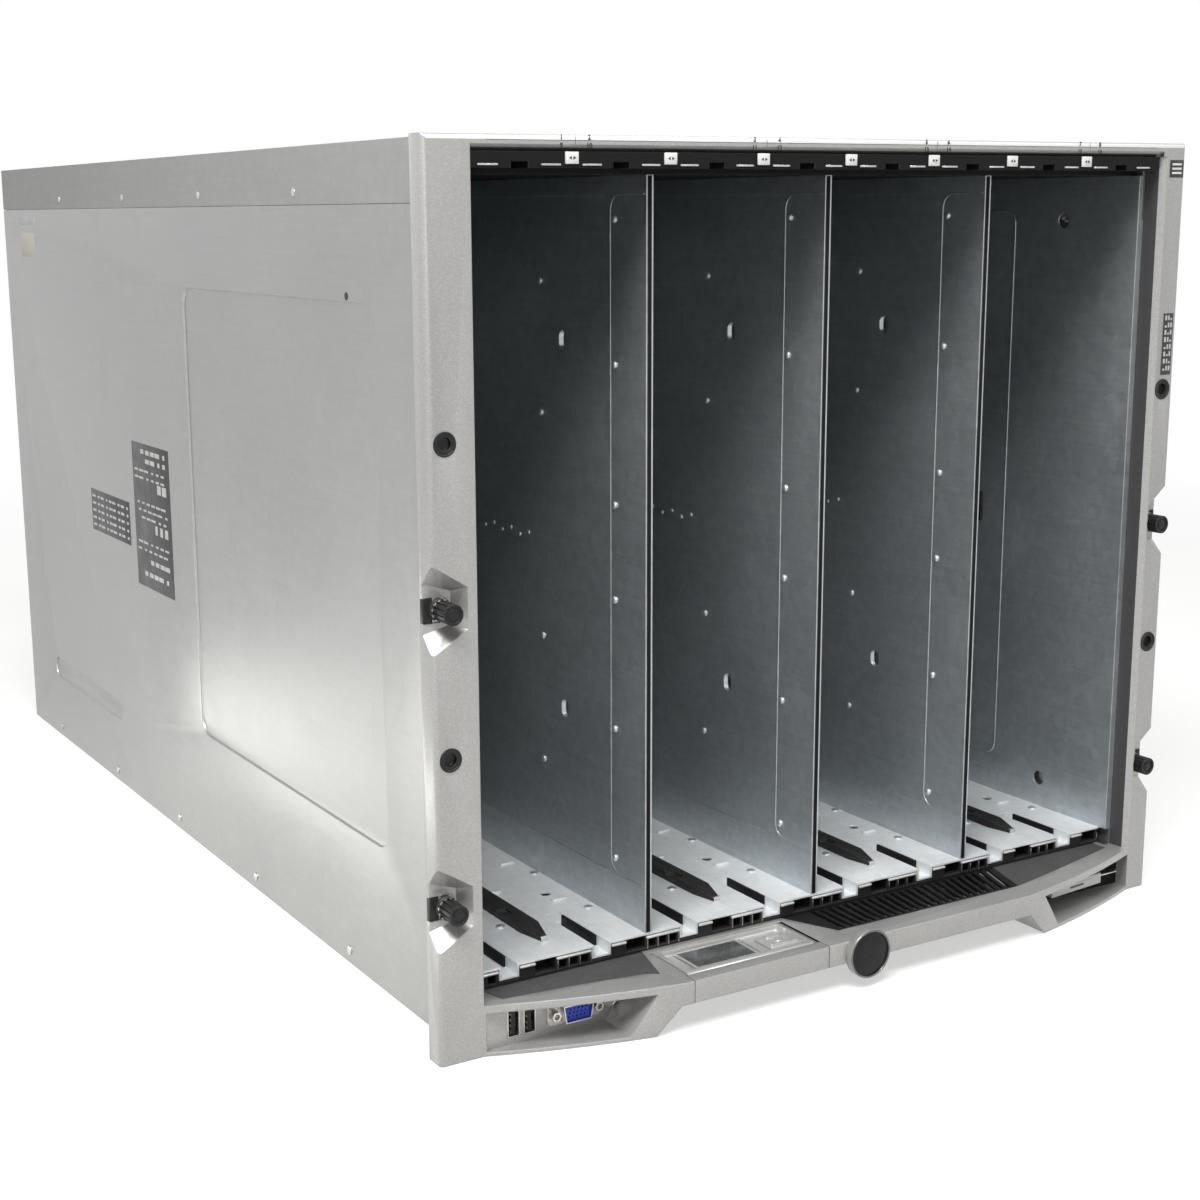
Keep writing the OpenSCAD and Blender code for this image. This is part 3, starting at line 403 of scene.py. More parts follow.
    @staticmethod
    def join(pieces: Sequence[bpy.types.Object], name: str) -> bpy.types.Object:
        """Joins pieces into one object.

        Args:
            pieces: The objects to join.
            name: Name of the result.

        Returns:
            The joined object.
        """
        Bench.clear_selection()
        for piece in pieces:
            piece.select_set(True)
        bpy.context.view_layer.objects.active = pieces[0]
        if len(pieces) > 1:
            bpy.ops.object.join()
        pieces[0].name = name
        return pieces[0]

    @staticmethod
    def trace(node: str, name: str) -> bpy.types.Object:
        """Copies a frame node's mesh, merges its loose triangles and clears its flat seams.

        Args:
            node: The node to copy.
            name: Name of the copy.

        Returns:
            The merged copy.
        """
        source = bpy.data.objects[node]
        copy = bpy.data.objects.new(name, source.data.copy())
        copy.data.materials.clear()
        bpy.context.scene.collection.objects.link(copy)
        Bench.activate(copy)
        if copy.data.has_custom_normals:
            bpy.ops.mesh.customdata_custom_splitnormals_clear()
        with Bench.editing(copy):
            bpy.ops.mesh.select_all(action="SELECT")
            bpy.ops.mesh.remove_doubles(threshold=MERGE)
            bpy.ops.mesh.select_all(action="SELECT")
            bpy.ops.mesh.dissolve_limited(angle_limit=FLAT_ANGLE)
            bpy.ops.mesh.select_all(action="SELECT")
            bpy.ops.mesh.faces_shade_flat()
        return copy


# ---------------------------------------------------------------------------
# Finishes
# ---------------------------------------------------------------------------

Color = tuple[float, float, float]


class Nodes:
    """A node tree being built."""

    def __init__(self, tree: bpy.types.NodeTree) -> None:
        """Takes the tree.

        Args:
            tree: The tree that gets the nodes.
        """
        self.tree = tree

    def node(self, kind: str, **settings: object) -> bpy.types.Node:
        """Adds a node and sets its properties.

        Args:
            kind: The node's type name.
            **settings: Properties of the node.

        Returns:
            The node.
        """
        made = self.tree.nodes.new(kind)
        for key, value in settings.items():
            setattr(made, key, value)
        return made

    def feed(self, source: object, target: bpy.types.NodeSocket) -> None:
        """Links a socket to an input, or sets the input to a plain value.

        Args:
            source: A socket or a value.
            target: The input.
        """
        if isinstance(source, bpy.types.NodeSocket):
            self.tree.links.new(source, target)
        elif isinstance(source, tuple) and len(source) == 3 and target.type == "RGBA":
            target.default_value = (*source, 1.0)
        else:
            target.default_value = source

    def sum(self, operation: str, *values: object) -> bpy.types.NodeSocket:
        """A math operation.

        Args:
            operation: Its name, as the node spells it.
            *values: Its operands.

        Returns:
            The result.
        """
        made = self.node("ShaderNodeMath", operation=operation)
        for socket, amount in zip(made.inputs, values):
            self.feed(amount, socket)
        return made.outputs[0]

    def rays(self) -> tuple[bpy.types.NodeSocket, ...]:
        """Masks of the camera's, glossy and transmission rays."""
        outputs = self.node("ShaderNodeLightPath").outputs
        return tuple(outputs[f"Is {kind} Ray"] for kind in ("Camera", "Glossy", "Transmission"))

    def join(self, kind: str, *sources: bpy.types.NodeSocket) -> bpy.types.NodeSocket:
        """Adds or mixes shaders.

        Args:
            kind: The node's type name.
            *sources: What its inputs get, in their order.

        Returns:
            The joined shader.
        """
        made = self.node(kind)
        for source, socket in zip(sources, made.inputs):
            self.feed(source, socket)
        return made.outputs[0]


class Shader(Nodes):
    """A node tree being built for one finish, around a Principled BSDF."""

    def __init__(self, name: str) -> None:
        """Starts the tree.

        Args:
            name: Name of the material.
        """
        self.material = bpy.data.materials.new(name)
        self.material.use_nodes = True
        super().__init__(self.material.node_tree)
        self.surface = next(n for n in self.tree.nodes if n.type == "BSDF_PRINCIPLED")
        self.place = self.node("ShaderNodeTexCoord").outputs["Object"]

    def stretched(self, scale: Point) -> bpy.types.NodeSocket:
        """Object coordinates, scaled by axis.

        Args:
            scale: Scale along X, Y and Z.

        Returns:
            The scaled coordinates.
        """
        mapping = self.node("ShaderNodeMapping")
        self.feed(self.place, mapping.inputs["Vector"])
        mapping.inputs["Scale"].default_value = scale
        return mapping.outputs["Vector"]

    def noise(
        self, scale: float, detail: float = 2, roughness: float = 0.5, stretch: Point | None = None
    ) -> bpy.types.NodeSocket:
        """A noise pattern between 0 and 1.

        Args:
            scale: Repeats in a metre.
            detail: Octaves.
            roughness: Strength of the finer octaves.
            stretch: Scale along each axis, for streaks.

        Returns:
            The pattern's value.
        """
        made = self.node("ShaderNodeTexNoise")
        self.feed(self.stretched(stretch) if stretch else self.place, made.inputs["Vector"])
        made.inputs["Scale"].default_value = scale
        made.inputs["Detail"].default_value = detail
        made.inputs["Roughness"].default_value = roughness
        return made.outputs[0]

    def cells(self, scale: float, stretch: Point | None = None) -> bpy.types.NodeSocket:
        """A random grey for each cell of a Voronoi pattern.

        Args:
            scale: Cells in a metre.
            stretch: Scale along each axis.

        Returns:
            The cells' value.
        """
        made = self.node("ShaderNodeTexVoronoi")
        self.feed(self.stretched(stretch) if stretch else self.place, made.inputs["Vector"])
        made.inputs["Scale"].default_value = scale
        split = self.node("ShaderNodeSeparateColor")
        self.feed(made.outputs["Color"], split.inputs[0])
        return split.outputs[0]

    def spread(
        self, value: object, low: float, high: float, start: float = 0.0, end: float = 1.0
    ) -> bpy.types.NodeSocket:
        """Maps a value from low..high to start..end, clamped.

        Args:
            value: The value to map.
            low: Where the map starts.
            high: Where it ends.
            start: Result at low.
            end: Result at high.

        Returns:
            The mapped value.
        """
        made = self.node("ShaderNodeMapRange")
        for socket, amount in zip(made.inputs, (value, low, high, start, end)):
            self.feed(amount, socket)
        return made.outputs[0]

    def weigh(self, base: object, *shares: tuple[object, float]) -> bpy.types.NodeSocket:
        """Adds weighted values to a base.

        Args:
            base: What they are added to, or None.
            *shares: Each value with its weight.

        Returns:
            The sum.
        """
        total = base
        for value, weight in shares:
            share = self.sum("MULTIPLY", value, weight)
            total = share if total is None else self.sum("ADD", total, share)
        return total

    def blend(self, share: object, one: object, other: object) -> bpy.types.NodeSocket:
        """Mixes two colours.

        Args:
            share: How much of the other one.
            one: The first colour.
            other: The second colour.

        Returns:
            The mixed colour.
        """
        made = self.node("ShaderNodeMix", data_type="RGBA")
        self.feed(share, made.inputs[0])
        self.feed(one, made.inputs[6])
        self.feed(other, made.inputs[7])
        return made.outputs[2]

    def split_place(self) -> tuple[bpy.types.NodeSocket, ...]:
        """X, Y and Z of the object coordinates."""
        made = self.node("ShaderNodeSeparateXYZ")
        self.feed(self.place, made.inputs[0])
        return tuple(made.outputs)

    def facing(self, direction: Point) -> bpy.types.NodeSocket:
        """How far the surface looks one way, from -1 to 1.

        Args:
            direction: The way.

        Returns:
            The cosine.
        """
        normal = self.node("ShaderNodeNewGeometry").outputs["Normal"]
        made = self.node("ShaderNodeVectorMath", operation="DOT_PRODUCT")
        self.feed(normal, made.inputs[0])
        made.inputs[1].default_value = direction
        return made.outputs["Value"]

    def edges(self, radius: float) -> tuple[bpy.types.NodeSocket, bpy.types.NodeSocket]:
        """Rounded normals and a mask of the edges that get them.

        Args:
            radius: Radius of the rounding.

        Returns:
            The normal and the mask.
        """
        rounded = self.node("ShaderNodeBevel", samples=4)
        rounded.inputs["Radius"].default_value = radius
        plain = self.node("ShaderNodeNewGeometry").outputs["Normal"]
        made = self.node("ShaderNodeVectorMath", operation="DOT_PRODUCT")
        self.feed(rounded.outputs[0], made.inputs[0])
        self.feed(plain, made.inputs[1])
        return rounded.outputs[0], self.spread(made.outputs["Value"], 0.97, 0.8)

    def relief(self, height: object, depth: float, normal: object = None) -> bpy.types.NodeSocket:
        """Turns a height pattern into a bumped normal.

        Args:
            height: The pattern.
            depth: Height of the pattern's full range.
            normal: The normal that it is added to.

        Returns:
            The bumped normal.
        """
        made = self.node("ShaderNodeBump")
        made.inputs["Strength"].default_value = 1.0
        made.inputs["Distance"].default_value = depth
        self.feed(height, made.inputs["Height"])
        if normal is not None:
            self.feed(normal, made.inputs["Normal"])
        return made.outputs[0]

    def finish(
        self,
        color: object,
        roughness: object,
        metallic: float = 0.0,
        normal: object = None,
        **extra: float,
    ) -> bpy.types.Material:
        """Connects the surface.

        Args:
            color: Base colour.
            roughness: Roughness.
            metallic: Metal share.
            normal: Normal, where it is shaped.
            **extra: Other inputs by name, with underscores for spaces.

        Returns:
            The material.
        """
        self.feed(color, self.surface.inputs["Base Color"])
        self.feed(roughness, self.surface.inputs["Roughness"])
        self.surface.inputs["Metallic"].default_value = metallic
        if normal is not None:
            self.feed(normal, self.surface.inputs["Normal"])
        for key, value in extra.items():
            self.surface.inputs[key.replace("_", " ")].default_value = value
        return self.material


@dataclass(frozen=True)
class ZincSheet:
    """Galvanised sheet: faint spangle, rolling streaks, clouded oxide and edges lightened as a painted highlight."""

    name: str
    color: Color = (0.56, 0.565, 0.555)
    shade: Color = (0.44, 0.445, 0.445)
    roughness: float = 0.36
    streak: Point = (60.0, 2.0, 60.0)
    metallic: float = 0.9
    smudge: float = 0.5

    def material(self) -> bpy.types.Material:
        """Builds the material."""
        s = Shader(self.name)
        clouds = s.noise(5.5, 4, 0.6)
        streaks = s.noise(9, 3, 0.6, self.streak)
        spangle = s.cells(210)
        grain = s.noise(1300, 1)
        tone = s.weigh(None, (clouds, 0.55), (streaks, 0.25), (spangle, 0.12), (grain, 0.16))
        color = s.blend(s.spread(tone, 0.3, 0.78), self.shade, self.color)
        # Dull smudges where hands and packing have touched the sheet
        smudge = s.spread(s.noise(11, 5, 0.7), 0.56, 0.74, 0, self.smudge)
        color = s.blend(s.sum("MULTIPLY", smudge, 0.35), color, self.shade)
        # Painted highlight: every edge is lightened evenly towards a pale grey
        normal, rim = s.edges(0.5 * MM)
        color = s.blend(s.sum("MULTIPLY", rim, 0.5), color, (0.72, 0.72, 0.7))
        rough = s.weigh(self.roughness, (s.sum("SUBTRACT", clouds, 0.5), 0.22), (smudge, 0.14), (spangle, 0.05))
        height = s.weigh(None, (streaks, 0.6), (grain, 0.5))
        return s.finish(color, rough, self.metallic, s.relief(height, 0.012 * MM, normal))


@dataclass(frozen=True)
class SilverPaint:
    """Silver lacquer on moulded plastic: fine metal flakes, slight orange peel, scuffed edges."""

    name: str
    color: Color = (0.335, 0.333, 0.327)
    flake: Color = (0.51, 0.506, 0.496)
    roughness: float = 0.4
    metallic: float = 0.4
    # Height in metres below which the paint is darkened to near black as painted shade; None leaves it even
    shaded_below: float | None = None

    def material(self) -> bpy.types.Material:
        """Builds the material."""
        s = Shader(self.name)
        flakes = s.cells(2600)
        clouds = s.noise(7, 3, 0.55)
        color = s.blend(s.spread(flakes, 0.55, 1.0, 0, 0.5), self.color, self.flake)
        color = s.blend(s.spread(clouds, 0.3, 0.7, 0.0, 0.16), color, (0.38, 0.375, 0.36))
        # Grime that gathers in patches, and dark nicks along the edges
        grime = s.spread(s.noise(38, 6, 0.72), 0.6, 0.74, 0, 0.22)
        color = s.blend(grime, color, (0.3, 0.28, 0.25))
        normal, rim = s.edges(0.7 * MM)
        nicks = s.sum("MULTIPLY", rim, s.spread(s.noise(260, 3, 0.6), 0.55, 0.66, 0, 0.55))
        color = s.blend(nicks, color, (0.2, 0.195, 0.185))
        rough = s.weigh(self.roughness, (s.sum("SUBTRACT", clouds, 0.5), 0.16), (grime, 0.4))
        # Painted shade: near black below the given height, on the chamfer under the band
        if self.shaded_below is not None:
            shaded = s.spread(s.split_place()[2], self.shaded_below + 0.3 * MM, self.shaded_below)
            color = s.blend(shaded, color, (0.09, 0.09, 0.088))
        peel = s.noise(420, 2)
        normal = s.relief(peel, 0.02 * MM, normal)
        return s.finish(color, rough, self.metallic, normal, Coat_Weight=0.8, Coat_Roughness=0.22)


@dataclass(frozen=True)
class MouldedPlastic:
    """Spark-textured plastic with dust on its upper faces."""

    name: str
    color: Color = (0.022, 0.022, 0.023)
    dust: Color = (0.2, 0.19, 0.17)
    roughness: float = 0.46
    texture: float = 0.03
    texture_scale: float = 1100
    dustiness: float = 0.28
    specular: float = 0.5
    black_inside: tuple[float, float] | None = None

    def material(self) -> bpy.types.Material:
        """Builds the material."""
        s = Shader(self.name)
        sparks = s.noise(self.texture_scale, 3, 0.6)
        clouds = s.noise(14, 4, 0.6)
        normal, rim = s.edges(0.4 * MM)
        lift = s.spread(s.facing((0, 0, 1)), 0.4, 0.95)
        specks = s.spread(s.noise(320, 4, 0.7), 0.5, 0.72)
        patches = s.weigh(None, (specks, 0.6), (clouds, 0.4))
        share = s.sum("MULTIPLY", lift, s.sum("MULTIPLY", patches, self.dustiness))
        paler = tuple(min(1, c * 2.2) for c in self.color)
        tone = s.blend(s.spread(sparks, 0.35, 0.7, 0, 0.3), self.color, paler)
        color = s.blend(share, tone, self.dust)
        # Painted highlight: every edge is lightened evenly towards grey
        color = s.blend(s.sum("MULTIPLY", rim, 0.16), color, (0.35, 0.35, 0.35))
        # Painted shade: near black past a slanted line, where the grille runs in under the beam
        if self.black_inside is not None:
            start, slant = self.black_inside
            x, y, _ = s.split_place()
            reach = s.sum("SUBTRACT", x, s.sum("MULTIPLY", y, slant))
            color = s.blend(s.spread(reach, start, start + 0.2 * MM), (0.006, 0.006, 0.0065), color)
        rough = s.weigh(self.roughness, (share, 0.5), (s.sum("SUBTRACT", clouds, 0.5), 0.12))
        normal = s.relief(sparks, self.texture * MM, normal)
        return s.finish(color, rough, 0.0, normal, Specular_IOR_Level=self.specular)


@dataclass(frozen=True)
class PlatedMetal:
    """Plated steel or stamped stainless: bright, with fine wear and dulled patches."""

    name: str
    color: Color = (0.66, 0.65, 0.62)
    shade: Color = (0.4, 0.39, 0.37)
    roughness: float = 0.24
    brush: Point = (1.0, 1.0, 1.0)

    def material(self) -> bpy.types.Material:
        """Builds the material."""
        s = Shader(self.name)
        wear = s.noise(180, 4, 0.65)
        lines = s.noise(900, 2, 0.5, self.brush)
        color = s.blend(s.spread(wear, 0.35, 0.7), self.color, self.shade)
        normal, rim = s.edges(0.25 * MM)
        # Painted highlight: every edge is lightened evenly towards near white
        color = s.blend(s.sum("MULTIPLY", rim, 0.5), color, (0.8, 0.79, 0.76))
        rough = s.sum("ADD", self.roughness, s.spread(wear, 0.4, 0.7, 0, 0.16))
        return s.finish(color, rough, 1.0, s.relief(lines, 0.008 * MM, normal))


@dataclass(frozen=True)
class GlossLacquer:
    """Polished black lacquer with hairline scratches."""

    name: str
    color: Color = (0.006, 0.006, 0.007)
    roughness: float = 0.16

    def material(self) -> bpy.types.Material:
        """Builds the material."""
        s = Shader(self.name)
        hair = s.noise(240, 5, 0.75, (9, 1, 1))
        haze = s.noise(60, 3, 0.6)
        color = s.blend(s.spread(haze, 0.45, 0.8, 0, 0.5), self.color, (0.03, 0.03, 0.032))
        rough = s.sum("ADD", self.roughness, s.spread(hair, 0.5, 0.75, 0, 0.2))
        shine = {"Coat_Weight": 0.05, "Coat_Roughness": 0.1, "Specular_IOR_Level": 0.2}
        return s.finish(color, rough, 0.0, s.relief(hair, 0.004 * MM), **shine)


@dataclass(frozen=True)
class CircuitBoard:
    """Green laminate with copper tracks under the mask and pale pads."""

    name: str

    def material(self) -> bpy.types.Material:
        """Builds the material."""
        s = Shader(self.name)
        tracks = s.cells(260, (1.0, 0.02, 0.12))
        cross = s.cells(180, (0.15, 0.02, 1.0))
        lines = s.sum("MAXIMUM", s.spread(tracks, 0.62, 0.64), s.spread(cross, 0.72, 0.74))
        weave = s.noise(2200, 1)
        color = s.blend(s.sum("MULTIPLY", lines, 0.5), (0.012, 0.075, 0.03), (0.035, 0.15, 0.06))
        vias = s.node("ShaderNodeTexVoronoi", feature="F1")
        s.feed(s.place, vias.inputs["Vector"])
        vias.inputs["Scale"].default_value = 150
        pads = s.spread(vias.outputs["Distance"], 0.12, 0.1)
        color = s.blend(s.sum("MULTIPLY", pads, 0.8), color, (0.55, 0.53, 0.45))
        height = s.weigh(None, (lines, 0.7), (weave, 0.3))
        return s.finish(color, s.spread(weave, 0.2, 0.8, 0.34, 0.5), 0.0, s.relief(height, 0.03 * MM))


@dataclass(frozen=True)
class ScreenGlass:
    """An unlit liquid crystal screen: a dark grey-green field with faint cell rows under gloss."""

    name: str

    def material(self) -> bpy.types.Material:
        """Builds the material."""
        s = Shader(self.name)
        rows = s.node("ShaderNodeTexWave", wave_type="BANDS", bands_direction="Y")
        s.feed(s.place, rows.inputs["Vector"])
        rows.inputs["Scale"].default_value = 900
        haze = s.noise(90, 4, 0.7)
        color = s.blend(s.spread(haze, 0.35, 0.75), (0.045, 0.05, 0.05), (0.085, 0.09, 0.088))
        color = s.blend(s.sum("MULTIPLY", rows.outputs["Fac"], 0.12), color, (0.02, 0.022, 0.022))
        rough = s.spread(haze, 0.4, 0.7, 0.2, 0.38)
        return s.finish(color, rough, 0.0, s.relief(haze, 0.01 * MM), Coat_Weight=0.5, Coat_Roughness=0.12)


@dataclass(frozen=True)
class Print:
    """Matt ink or label stock with a fibrous surface."""

    name: str
    color: Color
    roughness: float = 0.55

    def material(self) -> bpy.types.Material:
        """Builds the material."""
        s = Shader(self.name)
        fibre = s.noise(1500, 3, 0.7)
        age = s.noise(70, 4, 0.65)
        darker = tuple(c * 0.72 for c in self.color)
        color = s.blend(s.spread(age, 0.45, 0.8, 0, 0.7), self.color, darker)
        color = s.blend(s.spread(fibre, 0.3, 0.8, 0, 0.25), color, darker)
        rough = s.spread(age, 0.3, 0.7, self.roughness - 0.06, self.roughness + 0.1)
        return s.finish(color, rough, 0.0, s.relief(fibre, 0.01 * MM))


@dataclass(frozen=True)
class Palette:
    """Every finish of the chassis, built once."""

    finishes: dict[str, bpy.types.Material] = field(default_factory=dict)

    def add(self, *makers: object) -> None:
        """Builds finishes and keeps them by name.

        Args:
            *makers: The finishes.
        """
        for maker in makers:
            self.finishes[maker.name] = maker.material()

    def __getitem__(self, name: str) -> bpy.types.Material:
        """The finish of that name."""
        return self.finishes[name]


# ---------------------------------------------------------------------------
# Places
# ---------------------------------------------------------------------------


@dataclass(frozen=True)
class Datum:
    """Places that the fittings are set out from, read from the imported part."""

    face: float
    side: float
    opening: float
    floor: float
    slot_pitch: float
    divider: float
    rack_x: float
    beam_top: float
    drawer_sides: tuple[float, float]

    @classmethod
    def read(cls) -> "Datum":
        """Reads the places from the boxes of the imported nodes."""
        panel_low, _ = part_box("left_side_panel")
        _, board_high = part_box("midplane")
        divider_low, divider_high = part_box("center_divider")
        liner_low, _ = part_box("bay_liners")
        screw_low, screw_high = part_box("thumbscrew_lower_right")
        _, deck_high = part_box("left_deck_plate")
        drawer_low, drawer_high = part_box("display_drawer")
        return cls(
            face=panel_low.y - BEZEL_DEPTH,
            side=-panel_low.x,
            opening=board_high.x,
            floor=liner_low.z,
            slot_pitch=board_high.x / 4,
            divider=(divider_high.x - divider_low.x) / 2,
            rack_x=(screw_low.x + screw_high.x) / 2,
            beam_top=deck_high.z + DECK_SINK,
            drawer_sides=(drawer_low.x, drawer_high.x),
        )

    def at(self, x: float, y: float, z: float) -> tuple[float, float, float]:
        """A point given in millimetres, with Y from the bezel's face.

        Args:
            x: From the middle, to the right.
            y: From the bezel's face, inwards.
            z: Above the base.

        Returns:
            The point in metres.
        """
        return (x * MM, self.face + y * MM, z * MM)


# ---------------------------------------------------------------------------
# Sub-assemblies
# ---------------------------------------------------------------------------


@dataclass
class FrameFinishes:
    """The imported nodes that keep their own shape, and the finish that each one gets."""

    palette: Palette
    table: dict[str, Sequence[str]] = field(
        default_factory=lambda: {
            "zinc_side": ("left_side_panel", "right_side_panel", "base_pan"),
            "zinc_top_painted_shade": ("top_cover",),
            "zinc_bay_painted_light": ("bay_liners", "left_divider", "center_divider", "right_divider"),
            "zinc_floor_painted_light": ("bay_floor",),
            "zinc_rear": ("rear_cage", "switch_bay_covers"),
            "silver_paint": ("connector_panel", "front_bezel", "display_drawer", "display_panel"),
            "rail_black": ("floor_guide_rails", "floor_connector_strip"),
            # The steel bay ceiling takes the near-black finish as painted shade under the band
            "dark_trim_and_painted_shade": ("ceiling_guide_rail", "bay_ceiling"),
            "deck_dark_and_painted_shade": ("left_deck_plate",),
            "grille_dark": ("right_deck_grille",),
            "socket_steel": ("usb_ports",),
            "vga_blue": ("vga_port",),
            "button_silver": ("power_button", "display_keypad"),
            "badge_gloss": ("badge_disc",),
            "tag_white": ("information_tag",),
            "screen_glass": ("display_screen",),
            "board": ("midplane",),
            "module_steel": ("left_controller", "center_controller", "right_controller")
            + tuple(f"power_supply_{i}" for i in range(1, 7)),
            "fan_black": tuple(f"fan_{i}" for i in range(1, 10)) + tuple(f"fan_rotor_{i}" for i in range(1, 10)),
            "knob_black": tuple(f"thumbscrew_{v}_{s}" for v in ("lower", "upper") for s in ("left", "right")),
        }
    )

    def dress(self, nodes: dict[str, bpy.types.Object]) -> None:
        """Assigns the finishes.

        Args:
            nodes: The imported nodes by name.
        """
        for finish, names in self.table.items():
            for name in names:
                slots = nodes[name].material_slots
                if not slots:
                    nodes[name].data.materials.append(self.palette[finish])
                for slot in slots:
                    slot.material = self.palette[finish]
                LOG.info("%s finished as %s", name, finish)


@dataclass
class Studio:
    """Pale floor, soft lamps and the camera."""

    camera_place: Point = (-0.6245, -1.13895, 0.4065)
    azimuth: float = 30.457
    elevation: float = -11.805
    roll: float = -0.482
    lens: float = 56.655
    shift: Point = (0.0406, 0.0043)
    floor_color: Color = (0.5, 0.496, 0.488)
    floor_lift: float = 0.5
    fade: tuple[float, float] = (0.75, 1.9)

    def camera(self) -> None:
        """Sets the camera."""
        data = bpy.data.cameras.new("view_camera")
        data.lens = self.lens
        data.sensor_width = 36
        data.shift_x, data.shift_y = self.shift
        data.clip_start, data.clip_end = 0.02, 60
        turn, rise = math.radians(self.azimuth), math.radians(self.elevation)
        ahead = Vector((math.sin(turn) * math.cos(rise), math.cos(turn) * math.cos(rise), math.sin(rise)))
        right = ahead.cross(Vector((0, 0, 1))).normalized()
        up = right.cross(ahead)
        matrix = Matrix((right, up, -ahead)).transposed().to_4x4()
        matrix = matrix @ Matrix.Rotation(math.radians(self.roll), 4, "Z")
        matrix.translation = Vector(self.camera_place)
        view = bpy.data.objects.new("view_camera", data)
        view.matrix_world = matrix
        bpy.context.scene.collection.objects.link(view)
        bpy.context.scene.camera = view

    def lamp(self, name: str, place_at: Point, aim: Point, size: Point, watts: float, color: Color) -> None:
        """Adds a rectangular soft lamp.

        Args:
            name: Name of the lamp.
            place_at: Where it hangs.
            aim: What it points at.
            size: Width and height.
            watts: Its power.
            color: Its colour.
        """
        data = bpy.data.lights.new(name, "AREA")
        data.shape = "RECTANGLE"
        data.size, data.size_y = size
        data.energy = watts
        data.color = color
        lamp = bpy.data.objects.new(name, data)
        lamp.location = place_at
        lamp.rotation_euler = (Vector(aim) - Vector(place_at)).to_track_quat("-Z", "Y").to_euler()
        lamp.visible_camera = False
        bpy.context.scene.collection.objects.link(lamp)

    def lamps(self) -> None:
        """Hangs the lamps."""
        warm = (1.0, 0.985, 0.96)
        for name, place_at, aim, size, watts, color in (
            ("top_lamp", (-0.72, -0.98, 1.65), (0, -0.3, 0.15), (1.1, 0.5), 42, (1.0, 0.99, 0.97)),
            ("edge_lamp", (0.9, -0.45, 2.1), (0, -0.3, 0.1), (0.7, 0.4), 12, (1.0, 1.0, 1.0)),
            ("key_lamp", (-0.9, -2.4, 0.9), (0, -0.1, 0.15), (0.9, 0.7), 6, warm),
            ("side_lamp", (-2.6, 0.6, 1.8), (0, 0.0, 0.2), (2.0, 1.4), 3, (1.0, 0.98, 0.95)),
            ("bounce_lamp", (-0.47, -0.1, 0.03), (-0.24, -0.14, 0.08), (0.7, 0.05), 0.42, warm),
            ("fill_lamp", (2.6, -1.8, 1.4), (0, -0.2, 0.2), (1.6, 1.4), 1, (0.93, 0.96, 1.0)),
            ("back_lamp", (0.6, 3.0, 1.2), (0, 0.3, 0.2), (2.4, 1.2), 14, (1.0, 1.0, 1.0)),
        ):
            self.lamp(name, place_at, aim, size, watts, color)

    def world(self) -> None:
        """A soft grey world that is white behind the object and in its reflections."""
        world = bpy.data.worlds.new("studio_world")
        world.use_nodes = True
        world.node_tree.nodes.clear()
        s = Nodes(world.node_tree)
        camera, glossy, transmission = s.rays()
        shown = s.sum("MAXIMUM", s.sum("MAXIMUM", camera, transmission), glossy)
        shades = []
        for color, strength in (((0.95, 0.97, 1.0), 0.2), ((1.0, 1.0, 1.0), 1.0)):
            shade = s.node("ShaderNodeBackground")
            s.feed(color, shade.inputs["Color"])
            s.feed(strength, shade.inputs["Strength"])
            shades.append(shade.outputs[0])
        mix = s.join("ShaderNodeMixShader", shown, *shades)
        s.feed(mix, s.node("ShaderNodeOutputWorld").inputs[0])
        bpy.context.scene.world = world

    def floor(self) -> None:
        """A pale floor that carries the object's shadow and fades into the white background."""
        Bench.clear_selection()
        bpy.ops.mesh.primitive_plane_add(size=40, location=(0, 0, -0.0002))
        plane = Bench.settle(bpy.context.object, "studio_floor")
        s = Shader("studio_floor")
        mottle = s.spread(s.noise(3, 3), 0.3, 0.7)
        s.finish(s.blend(mottle, self.floor_color, tuple(c * 0.98 for c in self.floor_color)), 0.75)
        camera, glossy, transmission = s.rays()
        seen = s.sum("MAXIMUM", camera, s.sum("MAXIMUM", glossy, transmission))
        lift = s.node("ShaderNodeEmission")
        s.feed(s.sum("MULTIPLY", seen, self.floor_lift), lift.inputs["Strength"])
        lifted = s.join("ShaderNodeAddShader", s.surface.outputs[0], lift.outputs[0])
        x, y, _ = s.split_place()
        reach = s.sum("SQRT", s.sum("ADD", s.sum("MULTIPLY", x, x), s.sum("MULTIPLY", y, y)))
        far = s.sum("MULTIPLY", s.spread(reach, *self.fade), seen)
        mix = s.join("ShaderNodeMixShader", far, lifted, s.node("ShaderNodeEmission").outputs[0])
        end = next(n for n in s.tree.nodes if n.type == "OUTPUT_MATERIAL")
        s.feed(mix, end.inputs["Surface"])
        plane.data.materials.append(s.material)

    def build(self) -> None:
        """Sets up the studio."""
        self.camera()
        self.lamps()
        self.world()
        self.floor()
        bpy.context.scene.view_settings.view_transform = "Standard"


